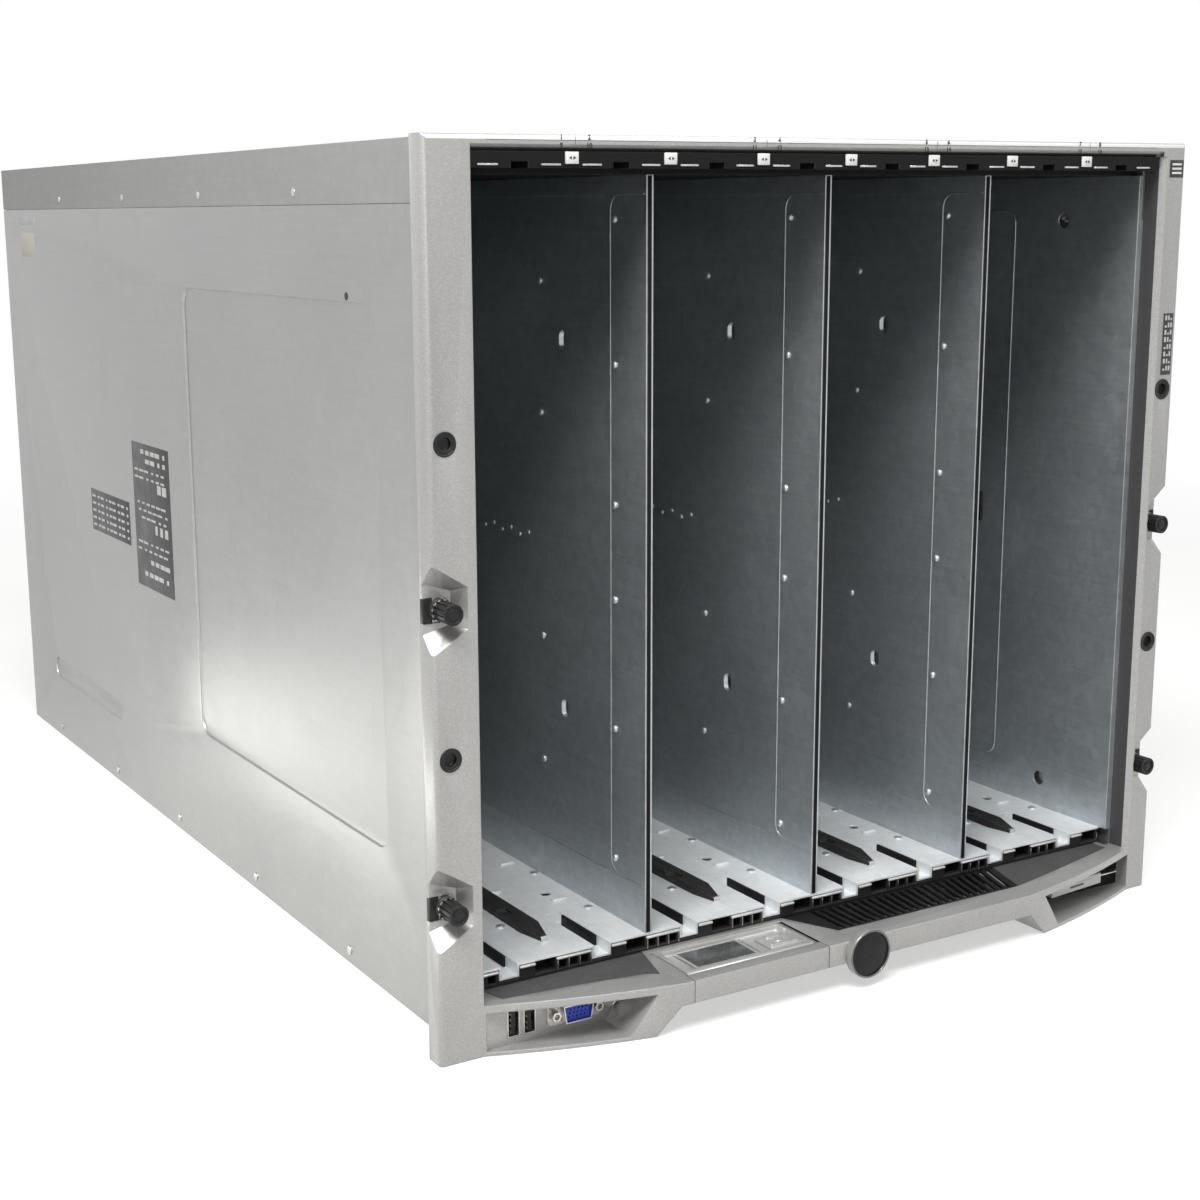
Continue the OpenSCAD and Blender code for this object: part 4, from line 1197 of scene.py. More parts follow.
@dataclass
class Fittings:
    """What every sub-assembly of fittings shares: its finishes and the places to set out from."""

    palette: Palette
    datum: Datum

    def put(
        self,
        piece: bpy.types.Object,
        finish: str | None,
        slot: str,
        body: str = Body.ENCLOSURE.value,
        stands_for: Sequence[str] = (),
    ) -> None:
        """Places a finished fitting.

        Args:
            piece: The fitting.
            finish: Name of its finish, or None to keep those that it has.
            slot: The record's material slot.
            body: The body that it moves with.
            stands_for: Frame nodes that it is shown instead of.
        """
        if finish:
            piece.data.materials.clear()
            piece.data.materials.append(self.palette[finish])
        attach(piece, body)
        if stands_for:
            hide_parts(*stands_for)
        LOG.info("%s rides on %s as %s", piece.name, body, slot)

    def sort_faces(
        self, piece: bpy.types.Object, finishes: Sequence[str], choose: Callable[[bpy.types.MeshPolygon], int]
    ) -> None:
        """Gives a piece several finishes and each face one of them.

        Args:
            piece: The piece.
            finishes: Names of the finishes.
            choose: Says which of them a face gets.
        """
        for finish in finishes:
            piece.data.materials.append(self.palette[finish])
        for face in piece.data.polygons:
            face.material_index = choose(face)

    def plate(self, name: str, low: Point, high: Point, width: float = 0.0) -> bpy.types.Object:
        """A thin plate or block, given in millimetres from the bezel's face.

        Args:
            name: Name of the piece.
            low: Lowest corner.
            high: Highest corner.
            width: Rounding of its edges.

        Returns:
            The plate.
        """
        piece = Bench.box(name, self.datum.at(*low), self.datum.at(*high))
        return Bench.soften(piece, width) if width else piece

    def along(self, shares: Iterable[float], offset: float = 0.0) -> list[Point]:
        """Shifts along X, in slot pitches.

        Args:
            shares: How many pitches each shift is.
            offset: Added to each shift, in metres.

        Returns:
            The shifts in metres.
        """
        return [(share * self.datum.slot_pitch + offset, 0.0, 0.0) for share in shares]


@dataclass
class SlotMarks(Fittings):
    """Tags, ledges and printed numbers along the top of the opening."""

    tag_width: float = 6.9
    tag_low: float = 427.3
    tag_high: float = 432.8
    ledge_offset: float = 11.0
    number_rows: tuple[float, float] = (438.2, 434.5)
    boundaries: Sequence[int] = tuple(range(-3, 4))

    def arrow(self, name: str, side: float) -> bpy.types.Object:
        """One small arrow head, pointing to the left (-1) or right (1).

        Args:
            name: Name of the piece.
            side: The way that it points.

        Returns:
            The arrow head at the origin.
        """
        Bench.clear_selection()
        bpy.ops.mesh.primitive_cylinder_add(vertices=3, radius=0.95 * MM, depth=0.16 * MM)
        turn = Axis.Y.turn @ Matrix.Rotation(math.radians(-90 * side), 4, "Z")
        piece = Bench.settle(bpy.context.object, name, turn)
        low = min(v.co.x * side for v in piece.data.vertices)
        with Bench.editing(piece):
            bpy.ops.mesh.select_all(action="SELECT")
            bpy.ops.transform.translate(value=(side * (0.45 * MM - low), 0, 0))
        return piece

    def tags(self) -> None:
        """White tags with two arrows over the middle of each boundary between slots."""
        middle, half = (self.tag_low + self.tag_high) / 2, self.tag_width / 2
        tag = self.plate("slot_tags_pattern", (-half, -0.25, self.tag_low), (half, 1.0, self.tag_high), 0.25)
        self.put(Bench.copies(tag, self.along(self.boundaries), "slot_tags"), "tag_white", "white_plastic")
        heads = Bench.join([self.arrow("arrow_left", -1), self.arrow("arrow_right", 1)], "slot_arrows_pattern")
        spots = [self.datum.at(k * self.datum.slot_pitch / MM, -0.28, middle) for k in self.boundaries]
        self.put(Bench.copies(heads, spots, "slot_arrows"), "ink_black", "dark_plastic")

    def ledges(self) -> None:
        """Short bright ledges under the guide rail, on both sides of each slot boundary."""
        ledge = self.plate("slot_ledges_pattern", (-5.2, 0.3, 426.6), (5.2, 1.0, 427.5), 0.15)
        pitch, offset = self.datum.slot_pitch, self.ledge_offset * MM
        places = [((k * pitch) + side * offset, 0.0, 0.0) for k in self.boundaries for side in SIDES]
        places += [(-4 * pitch + 10.6 * MM, 0.0, 0.0), (4 * pitch - 10.6 * MM, 0.0, 0.0)]
        self.put(Bench.copies(ledge, places, "slot_ledges"), "rivet_bright", "galvanised")

    def number(self, number: int) -> bpy.types.Object:
        """One printed slot number, as a flat mesh.

        Args:
            number: The number, from 1 to 16.

        Returns:
            The print in its place.
        """
        column = (number - 1) % 8
        middle = (column // 2 - 1.5) * 2 * (self.datum.slot_pitch / MM)
        x = middle + (9.2 if column % 2 else -5.8)
        z = self.number_rows[0 if number <= 8 else 1]
        Bench.clear_selection()
        bpy.ops.object.text_add(location=(0, 0, 0))
        text = bpy.context.object
        text.data.body = str(number)
        text.data.size = 3.2 * MM
        text.data.offset = 0.12 * MM
        text.data.align_x = "CENTER"
        text.data.resolution_u = 3
        text.matrix_world = Matrix.Translation(self.datum.at(x, -0.04, z)) @ Matrix.Rotation(math.pi / 2, 4, "X")
        Bench.activate(text)
        bpy.ops.object.convert(target="MESH")
        return Bench.settle(bpy.context.object, f"slot_number_{number}")

    def numbers(self) -> None:
        """Slot numbers, a fine line and ticks printed on the band."""
        parts = [self.number(number) for number in range(1, 17)]
        parts.append(self.plate("band_line", (-209, -0.05, 437.72), (218, 0.05, 437.9)))
        for bay in range(4):
            x = (bay - 1.5) * 2 * (self.datum.slot_pitch / MM) + 1.7
            parts.append(self.plate(f"band_tick_{bay}", (x - 0.1, -0.05, 436), (x + 0.1, 0.05, 440)))
        self.put(Bench.join(parts, "slot_numbers"), "ink_black", "dark_plastic")

    def build(self) -> None:
        """Builds the marks."""
        self.tags()
        self.ledges()
        self.numbers()


@dataclass
class EarFittings(Fittings):
    """Rack screws, thumbscrew retainers and small plates on the ears."""

    hole_heights: Sequence[float] = (153.6, 302.8)
    thumb_heights: Sequence[float] = (78.0, 224.5)

    def rack_screws(self) -> None:
        """Black socket screws sunk in the rack holes."""
        head = Bench.rod("rack_screws_pattern", (0, 0, 0), 5.9 * MM, 5.6 * MM, Axis.Y, 40)
        with Bench.editing(head):
            Bench.turned_face(head, ((0.9, 0.5), (1.7, 2.6)))
        x = self.datum.rack_x / MM
        places = [self.datum.at(side * x, 2.5, z) for side in SIDES for z in self.hole_heights]
        head = Bench.copies(Bench.soften(head, 0.35, 2, 50), places, "rack_screws")
        self.put(head, "knob_black", "dark_plastic")

    def retainers(self) -> None:
        """Black retainers that close the outer end of each thumbscrew's slot."""
        x = self.datum.rack_x / MM
        parts = []
        for side in SIDES:
            left, right = sorted((side * (x + 3.6), side * (x + 8.65)))
            for index, z in enumerate(self.thumb_heights):
                low, high = (left, 8.6, z - 6.2), (right, 11.9, z + 6.2)
                parts.append(self.plate(f"retainer_{side}_{index}", low, high, 0.4))
        self.put(Bench.join(parts, "thumbscrew_retainers"), "knob_black", "dark_plastic")

    def plates(self) -> None:
        """A black square with three pale bars and a bare dark strip on the right ear."""
        square = self.plate("ear_square", (228.6, -0.25, 421.8), (239.4, 0.05, 431.4), 0.12)
        self.put(square, "label_black", "dark_plastic")
        bars = [
            self.plate(f"ear_bar_{i}", (230.3, -0.36, z), (237.7, -0.2, z + 1.2))
            for i, z in enumerate((423.6, 426.0, 428.4))
        ]
        self.put(Bench.join(bars, "ear_bars"), "tag_white", "white_plastic")
        strip = self.plate("ear_strip", (230.4, -0.2, 311), (238.2, 0.05, 346), 0.1)
        self.put(strip, "label_black", "dark_plastic")
        blocks = []
        for row in range(8):
            z = 313.4 + row * 4.1
            for column, (x, wide) in enumerate(((231.6, 1.5), (234.0, 1.1), (235.9, 1.3))):
                tall = 2.7 if (row + column) % 3 else 1.2
                blocks.append(self.plate(f"ear_block_{row}_{column}", (x, -0.26, z), (x + wide, -0.16, z + tall)))
        self.put(Bench.join(blocks, "ear_strip_blocks"), "ink_pale", "white_plastic")

    def build(self) -> None:
        """Builds the ears' fittings."""
        self.rack_screws()
        self.retainers()
        self.plates()


@dataclass
class Knob(Fittings):
    """A thumbscrew as it looks: a fluted black knob, a nickel ferrule and a threaded end."""

    node: str = ""
    body: str = ""
    radius: float = 5.2
    length: float = 10.6
    ferrule_from: float = 10.7
    ferrule_to: float = 18.0
    strips: int = 48

    def is_flute(self, face: bmesh.types.BMFace) -> bool:
        """Whether a face is one of every fourth strip round the knob.

        Args:
            face: The face.

        Returns:
            True for a strip that is pressed in as a grip flute.
        """
        strip = 360 / self.strips
        angle = math.degrees(math.atan2(face.normal.z, face.normal.x)) + 360
        return abs(face.normal.y) < 0.1 and round((angle - strip / 2) / strip) % 4 == 0

    def build(self) -> None:
        """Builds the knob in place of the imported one."""
        low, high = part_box(self.node)
        x, z = (low.x + high.x) / 2, (low.z + high.z) / 2
        front, start, rear = low.y, low.y + self.ferrule_from * MM, low.y + self.ferrule_to * MM
        name = f"{self.node}_knob"
        knob = Bench.rod(name, (0, 0, 0), self.radius * MM, self.length * MM, Axis.Y, self.strips)
        with Bench.editing(knob):
            Bench.pick(knob, "FACE", self.is_flute)
            bpy.ops.mesh.inset(thickness=0.12 * MM, use_individual=True)
            bpy.ops.transform.shrink_fatten(value=-0.55 * MM)
            Bench.turned_face(knob, ((1.1, 0.9), (1.6, -0.6)))
        knob = Bench.copies(Bench.soften(knob, 0.25, 2, 50), [(x, front + self.length / 2 * MM, z)], name)
        self.put(knob, "knob_black", "dark_plastic", self.body, (self.node,))
        ferrule = Bench.rod(f"{self.node}_ferrule", (x, (start + rear) / 2, z), 5.65 * MM, rear - start, Axis.Y, 48)
        with Bench.editing(ferrule):
            Bench.turned_face(ferrule, ((0.8, -HAIR),))
        self.put(Bench.soften(ferrule, 0.4, 3, 50), "ferrule", "dark_plastic", self.body)
        thread = Bench.rod(f"{self.node}_thread", (x, (rear + high.y) / 2, z), 2.95 * MM, high.y - rear, Axis.Y, 32)
        with Bench.editing(thread):
            Bench.turned_face(thread, ((0.5, -HAIR),), 1)
        self.put(Bench.soften(thread, 0.3, 2, 50), "thread_zinc", "dark_plastic", self.body)


@dataclass
class BayFittings(Fittings):
    """Rivets, ribs, edge trims, latches and floor fittings of the blade bays."""

    front_row: float = 47.0
    rear_row: float = 122.0
    front_heights: Sequence[float] = (402, 330, 258.5, 209, 140, 69)
    rear_heights: Sequence[float] = (370, 300, 176, 105)

    def faces(self) -> list[tuple[float, float]]:
        """X in millimetres and facing of every face that carries rivets."""
        pitch = self.datum.slot_pitch / MM * 2
        thick = self.datum.divider / MM
        return [(k * pitch + side * thick, side) for k in (-1, 0, 1) for side in SIDES]

    def rivets(self) -> None:
        """Bright rivet heads and small dots on both faces of each divider."""
        at = self.datum.at
        for side, word in ((-1, "left"), (1, "right")):
            xs = [x for x, facing in self.faces() if facing == side]
            heads = []
            for x in xs:
                heads += [at(x, self.front_row, z) for z in self.front_heights]
                heads += [at(x - side * 0.6, self.rear_row, z) for z in self.rear_heights]
            dots = [at(x - side * 0.6, 137 + k * 10, 232 - (k % 2) * 2.5) for x in xs for k in range(6)]
            for kind, places, radius, height, sides in (("rivets", heads, 1.9, 1.3, 14), ("dots", dots, 1.2, 0.7, 8)):
                head = Bench.dome(f"{kind}_pattern_{side}", radius, side * height, Axis.X, sides)
                head = Bench.copies(head, places, f"divider_{kind}_{word}")
                self.put(head, "rivet_white", "galvanised")

    def outline(self, x: float, front: float, back: float, low: float, high: float, radius: float = 8) -> list[Point]:
        """Points round a pressed edge: along its front side, with rounded corners into the top and bottom.

        Args:
            x: Place of the face.
            front: Y of the upright part.
            back: Y where the top and bottom parts end.
            low: Height of the bottom part.
            high: Height of the top part.
            radius: Radius of the corners.

        Returns:
            The points in metres.
        """
        way = 1 if back > front else -1
        points = [self.datum.at(x, back, low)]
        for level, turn in ((low, -1), (high, 1)):
            middle = level - turn * radius
            for step in range(7):
                angle = math.radians(90 * step / 6)
                along, up = (math.sin(angle), math.cos(angle)) if turn < 0 else (math.cos(angle), math.sin(angle))
                points.append(self.datum.at(x, front + way * radius * (1 - along), middle + turn * radius * up))
        points.append(self.datum.at(x, back, high))
        return points

    def ribs(self) -> None:
        """The raised edges of the dividers' front strips and of the liners' recessed panels."""
        parts = [
            Bench.wire(f"rib_{index}", self.outline(x - facing * 0.3, 51, 20, 61, 414), 0.6 * MM)
            for index, (x, facing) in enumerate(self.faces())
        ]
        wall = self.datum.opening / MM + 0.35
        for side in SIDES:
            parts.append(Bench.wire(f"rib_wall_{side}", self.outline(side * wall, 109, 440, 60, 404), 0.7 * MM))
        self.put(Bench.join(parts, "panel_ribs"), "zinc_bay_painted_light", "galvanised")

    def edges(self) -> None:
        """Black edge trims on the dividers' front edges, and small black latch springs on the side walls."""
        pitch = self.datum.slot_pitch / MM * 2
        trims = [
            self.plate(f"trim_{k}", (k * pitch - 1.3, 17.5, 36.4), (k * pitch + 0.9, 18.05, 422.6), 0.2)
            for k in (-1, 0, 1)
        ]
        self.put(Bench.join(trims, "divider_trims"), "dark_trim_and_painted_shade", "dark_plastic")
        bay = self.datum.opening / MM
        latches = []
        for side in SIDES:
            left, right = sorted((side * bay, side * (bay - 1.6)))
            latches.append(self.plate(f"latch_{side}", (left, 128, 210), (right, 132, 229), 0.4))
        self.put(Bench.join(latches, "wall_latches"), "knob_black", "dark_plastic")

    def floor_fittings(self) -> None:
        """Rail tips, lanced bridges and screws on the bay floor."""
        tip = self.plate("rail_tips_pattern", (0.8, 36.7, 36.05), (4.6, 38.6, 38.6), 0.3)
        places = [((k - 1.5) * (self.datum.slot_pitch * 2), 0.0, 0.0) for k in range(4)]
        self.put(Bench.copies(tip, places, "rail_tips"), "rivet_bright", "galvanised")
        starts = [(i - 3.5) * (self.datum.slot_pitch / MM) for i in range(8)]
        bridge = self.plate("bridges_pattern", (-4.5, -1.8, 36.0), (4.5, 1.8, 37.3), 0.5)
        places = [(MM * (x + dx), MM * y, 0.0) for x in starts for dx, y in ((12, 84), (-14, 112), (16, 150))]
        self.put(Bench.copies(bridge, places, "floor_bridges"), "zinc_floor_painted_light", "galvanised")
        screw = Bench.dome("floor_screws_pattern", 2.4, 1.0, Axis.Z, 16)
        spread = ((20, 66), (-16, 78), (22, 128), (-12, 190))
        places = [self.datum.at(x + dx, y, 36.0) for x in starts for dx, y in spread]
        self.put(Bench.copies(screw, places, "floor_screws"), "rivet_white", "galvanised")

    def channel_guides(self) -> None:
        """Dark blocks over the right walls of the floor's channels, set back from their open fronts: painted shade.
        """
        # Painted shade: black blocks cover the channels' right walls
        guide = self.plate("channel_guides_pattern", (1.5, 30, 30.05), (2.95, 64, 35.9), 0.3)
        painted_shade_blocks = Bench.copies(guide, self.along(i - 3.5 for i in range(8)), "channel_guides")
        self.put(painted_shade_blocks, "dark_trim_and_painted_shade", "dark_plastic")

    def build(self) -> None:
        """Builds the bays' fittings."""
        self.channel_guides()
        self.rivets()
        self.ribs()
        self.edges()
        self.floor_fittings()


@dataclass
class StripLips(Fittings):
    """Bright folded edges along the tops of the connector strip's lips, and bars in its windows."""

    runs: Sequence[tuple[float, float]] = ((5.9, 14.9), (27.1, 48.2))
    first_bar: float = 28.1
    bar_pitch: float = 6.6

    def build(self) -> None:
        """Builds the edges over each lip, leaving out those that would run into the walls."""
        pitch = self.datum.slot_pitch / MM
        reach = self.datum.opening / MM - 1
        parts = []
        for slot in range(-1, 8):
            middle = (slot - 3.5) * pitch - 1.5
            for index, (start, end) in enumerate(self.runs):
                left, right = max(-reach, middle + start), min(reach, middle + end)
                if right - left > 2:
                    parts.append(self.plate(f"lip_{slot + 1}_{index}", (left, 16.7, 33.0), (right, 18.5, 34.5), 0.6))
        self.put(Bench.join(parts, "lip_edges"), "lip_steel", "galvanised")
        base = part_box("floor_connector_strip")[0].z / MM
        bars = []
        for slot in range(8):
            start = (slot - 3.5) * pitch - 1.5
            for k in range(4):
                x = start + self.first_bar + k * self.bar_pitch
                bars.append(self.plate(f"bar_{slot}_{k}", (x, 17.75, base + 0.6), (x + 0.6, 18.1, 32.4), 0.1))
        self.put(Bench.join(bars, "window_frames"), "ferrule", "galvanised")


@dataclass
class GuideRails(Fittings):
    """The floor's guide rails, with their tips sloping down to the front."""

    drop: float = 3.4
    height: float = 0.75

    def build(self) -> None:
        """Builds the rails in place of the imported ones."""
        low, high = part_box("floor_guide_rails")
        front, top = low.y + 0.05 * MM, high.z - 0.5 * MM
        rails = Bench.trace("floor_guide_rails", "slot_guide_rails")
        with Bench.editing(rails):
            Bench.pick(rails, "VERT", lambda vertex: vertex.co.y < front and vertex.co.z > top)
            bpy.ops.transform.translate(value=(0, 0, -self.drop * MM))
            bpy.ops.mesh.select_all(action="SELECT")
            bpy.ops.transform.resize(value=(1, 1, self.height), center_override=(0, 0, self.datum.floor))
        self.put(Bench.soften(rails, 0.25, 2, 40), "rail_black", "dark_plastic", stands_for=("floor_guide_rails",))


@dataclass
class BezelShell(Fittings):
    """The moulded bezel with its edges rounded, most along the beam's front."""

    beam_edge: float = 2.4
    finishes: Sequence[str] = ("silver_paint", "lip_painted_shade", "dark_trim_and_painted_shade", "band_painted_light", "deck_dark_and_painted_shade")

    def on_beam_edge(self, edge: bmesh.types.BMEdge) -> bool:
        """Whether an edge runs along the top front of the beam.

        Args:
            edge: The edge.

        Returns:
            True for an edge between the beam's top and its front.
        """
        if len(edge.link_faces) != 2 or edge.calc_face_angle(0) < math.radians(60):
            return False
        top, face = self.datum.beam_top, self.datum.face - 0.2 * MM
        if any(abs(v.co.z - top) > 0.05 * MM or v.co.y > face for v in edge.verts):
            return False
        fronts = [face for face in edge.link_faces if face.normal.y < -0.6]
        tops = [face for face in edge.link_faces if face.normal.z > 0.9]
        return bool(fronts and tops)

    def choose(self, face: bpy.types.MeshPolygon) -> int:
        """The finish of one face: painted shade under the band, in the tag's recess and on the ears' inner sides,
        painted light on the band, and dark drawer gaps.

        Args:
            face: The face.

        Returns:
            Its index in the list of finishes.
        """
        x, normal, opening = face.center.x, face.normal, self.datum.opening
        y, z = (face.center.y - self.datum.face) / MM, face.center.z / MM
        drawer = min(abs(x - side) for side in self.datum.drawer_sides)
        inwards = normal.x * x < -0.9 * abs(x)
        # Painted shade on the chamfer under the top band
        if z > 432.8 and normal.z < -0.35 and -0.2 < y < 3.2:
            name = "lip_painted_shade"
        # Painted shade: the back of the tag's recess takes the near-black finish
        elif normal.y < -0.9 and abs(y - 8) < 0.1 and x > 0.13 and z < 24:
            name = "dark_trim_and_painted_shade"
        # Painted light: the band's front gets a much paler silver than the rest of the bezel
        elif z > 433 and normal.y < -0.7 and abs(x) < opening + 5 * MM:
            name = "band_painted_light"
        # Painted shade: the ears' inner sides inside the opening take the dark deck finish
        elif inwards and z > 30 and 0.8 < y < 17.5 and abs(abs(x) - opening) < 6.5 * MM:
            name = "deck_dark_and_painted_shade"
        elif abs(normal.x) > 0.9 and drawer < 1.5 * MM:
            name = "dark_trim_and_painted_shade"
        else:
            name = "silver_paint"
        return self.finishes.index(name)

    def build(self) -> None:
        """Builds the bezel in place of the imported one."""
        shell = Bench.trace("front_bezel", "bezel_shell")
        with Bench.editing(shell):
            count = Bench.pick(shell, "EDGE", self.on_beam_edge)
            bpy.ops.mesh.bevel(offset=self.beam_edge * MM, segments=4, affect="EDGES", clamp_overlap=True)
        LOG.info("bezel: %d beam edges rounded", count)
        shell = Bench.soften(shell, 0.5, 2, 50)
        self.sort_faces(shell, self.finishes, self.choose)
        self.put(shell, None, "silver_paint", stands_for=("front_bezel",))


@dataclass
class Badge(Fittings):
    """A bare round badge: a black dished face inside a dark metal rim."""

    def build(self) -> None:
        """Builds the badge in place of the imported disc."""
        low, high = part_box("badge_disc")
        x, z = (low.x + high.x) / 2, (low.z + high.z) / 2
        radius = (high.x - low.x) / 2
        disc = Bench.rod("badge_face", (0, 0, 0), radius - 0.1 * MM, high.y - low.y - 0.4 * MM, Axis.Y, 96)
        with Bench.editing(disc):
            Bench.turned_face(disc, ((1.5, 0.9),))
            bpy.ops.mesh.inset(thickness=2.2 * MM)
            bpy.ops.transform.translate(value=(0, -0.35 * MM, 0))
        disc = Bench.soften(disc, 0.35, 3, 30)
        rim = radius - 1.2 * MM
        self.sort_faces(
            disc,
            ("badge_gloss", "silver_paint"),
            lambda face: int(math.hypot(face.center.x, face.center.z) > rim or face.normal.y > 0.5),
        )
        disc = Bench.copies(disc, [(x, (low.y + high.y) / 2 + 0.2 * MM, z)], "badge_face")
        self.put(disc, None, "black_gloss", stands_for=("badge_disc",))
        ring = Bench.ring("badge_rim", (x, low.y + 0.72 * MM, z), radius - 0.75 * MM, 0.62 * MM, 96)
        self.put(ring, "badge_rim", "black_gloss")


@dataclass
class Sockets(Fittings):
    """Metal and plastic of the sockets and the power button in the left foot."""

    usb_width: float = 7.0
    opening_half: tuple[float, float] = (8.62, 4.43)

    def monitor_socket(self) -> None:
        """The blue socket in a nickel flange with two hex posts."""
        low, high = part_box("vga_port")
        middle, level = (low.x + high.x) / 2, (low.z + high.z) / 2
        wide, tall = (half * MM for half in self.opening_half)
        piece = Bench.trace("vga_port", "monitor_socket")

        def is_metal(face: bpy.types.MeshPolygon) -> int:
            """Whether a face belongs to the flange and the posts.

            Args:
                face: The face.

            Returns:
                0 for the blue plastic of the opening, 1 for the rest.
            """
            corners = [piece.data.vertices[i].co for i in face.vertices]
            return int(not all(abs(c.x - middle) < wide and abs(c.z - level) < tall for c in corners))

        self.sort_faces(piece, ("vga_blue", "socket_steel"), is_metal)
        self.put(Bench.soften(piece, 0.12, 1, 55), None, "blue_plastic", stands_for=("vga_port",))

    def usb_tongues(self) -> None:
        """Black tongues with gilt contacts inside the two upright sockets."""
        low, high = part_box("usb_ports")
        half = self.usb_width * MM / 2
        z0, z1 = low.z + 1.1 * MM, high.z - 1.1 * MM
        tongues, contacts = [], []
        for index, x in enumerate((low.x + half, high.x - half)):
            front, back = (x - 1.15 * MM, low.y + 0.7 * MM, z0), (x + 1.15 * MM, high.y - 0.9 * MM, z1)
            tongues.append(Bench.box(f"tongue_{index}", front, back))
            for k in range(4):
                z = z0 + (z1 - z0) * (k + 0.5) / 4
                front = (x - 1.35 * MM, low.y + 0.9 * MM, z - 0.6 * MM)
                back = (x - 1.1 * MM, high.y - 2 * MM, z + 0.6 * MM)
                contacts.append(Bench.box(f"contact_{index}_{k}", front, back))
        self.put(Bench.join(tongues, "usb_tongues"), "knob_black", "socket_steel")
        self.put(Bench.join(contacts, "usb_contacts"), "gilt", "socket_steel")

    def button_ring(self) -> None:
        """A polished ring round the power button's face."""
        low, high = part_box("power_button")
        centre = ((low.x + high.x) / 2, low.y + 0.12 * MM, (low.z + high.z) / 2)
        ring = Bench.ring("power_ring", centre, 3.15 * MM, 0.5 * MM, 48)
        self.put(ring, "socket_steel", "silver_plastic", "power_key")

    def build(self) -> None:
        """Builds the sockets' details."""
        self.monitor_socket()
        self.usb_tongues()
        self.button_ring()


@dataclass
class PullTag(Fittings):
    """The face of the pull-out tag: a pale label in a bright holder."""

    slope: float = 4.0

    def build(self) -> None:
        """Builds the label on the holder's slanting front."""
        low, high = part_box("information_tag")
        left, right = low.x / MM, high.x / MM
        turn, length = math.atan2(self.slope, right - left), math.hypot(self.slope, right - left)
        stand = Matrix.Translation(self.datum.at(left, -self.slope, 0)) @ Matrix.Rotation(turn, 4, "Z")
        for name, finish, lift, inset, z0, z1 in (
            ("tag_label", "tag_white", -0.14, 3.0, 9.6, 13.4),
            ("tag_mark", "ink_grey", -0.19, 16.0, 10.9, 12.1),
        ):
            near, far = (inset * MM, (lift - 0.01) * MM, z0 * MM), ((length - inset) * MM, 0.05 * MM, z1 * MM)
            self.put(Bench.settle(Bench.box(name, near, far), name, stand), finish, "white_plastic", "tag")
        guide = self.plate("recess_guide", (207, 3.0, 11.2), (222, 8.1, 12.0), 0.2)
        self.put(guide, "rivet_bright", "galvanised")


@dataclass
class DisplayDetails(Fittings):
    """Rims of the tilting display, its screen surround and the drawer's front bar."""

    rim: float = 1.3

    def build(self) -> None:
        """Builds the display's details on its own bodies."""
        panel = Bench.soften(Bench.trace("display_panel", "display_case"), 0.35, 2, 50)
        self.put(panel, "silver_case_painted_light", "silver_plastic", "display", ("display_panel",))
        drawer = Bench.soften(Bench.trace("display_drawer", "drawer_case"), 0.6, 3, 50)
        self.sort_faces(drawer, ("silver_paint", "dark_trim_and_painted_shade"), lambda face: int(abs(face.normal.x) > 0.97))
        self.put(drawer, None, "silver_plastic", "drawer", ("display_drawer",))
        low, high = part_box("display_screen")
        x0, x1, y0, y1, z = low.x, high.x, low.y, high.y, high.z
        rim, lap = self.rim * MM, 0.1 * MM
        frame = [
            Bench.box(f"surround_{word}", (*near, z - 0.6 * MM), (*far, z + 0.3 * MM))
            for word, near, far in (
                ("front", (x0 - rim, y0 - rim), (x1 + rim, y0 + lap)),
                ("back", (x0 - rim, y1 - lap), (x1 + rim, y1 + rim)),
                ("left", (x0 - rim, y0), (x0 + lap, y1)),
                ("right", (x1 - lap, y0), (x1 + rim, y1)),
            )
        ]
        surround = Bench.soften(Bench.join(frame, "screen_surround"), 0.15, 2)
        self.put(surround, "silver_case_painted_light", "silver_plastic", "display")
        near, far = (x1 + 3.4 * MM, y0 - 1.0 * MM, z - 0.95 * MM), (x1 + 4.6 * MM, y1 + 1.0 * MM, z - lap)
        step = Bench.soften(Bench.box("key_step", near, far), 0.2, 2)
        self.put(step, "silver_case_painted_light", "silver_plastic", "display")
        keys = Bench.soften(Bench.trace("display_keypad", "keypad_case"), 0.25, 2, 50)
        self.put(keys, "button_silver", "silver_plastic", "keypad", ("display_keypad",))


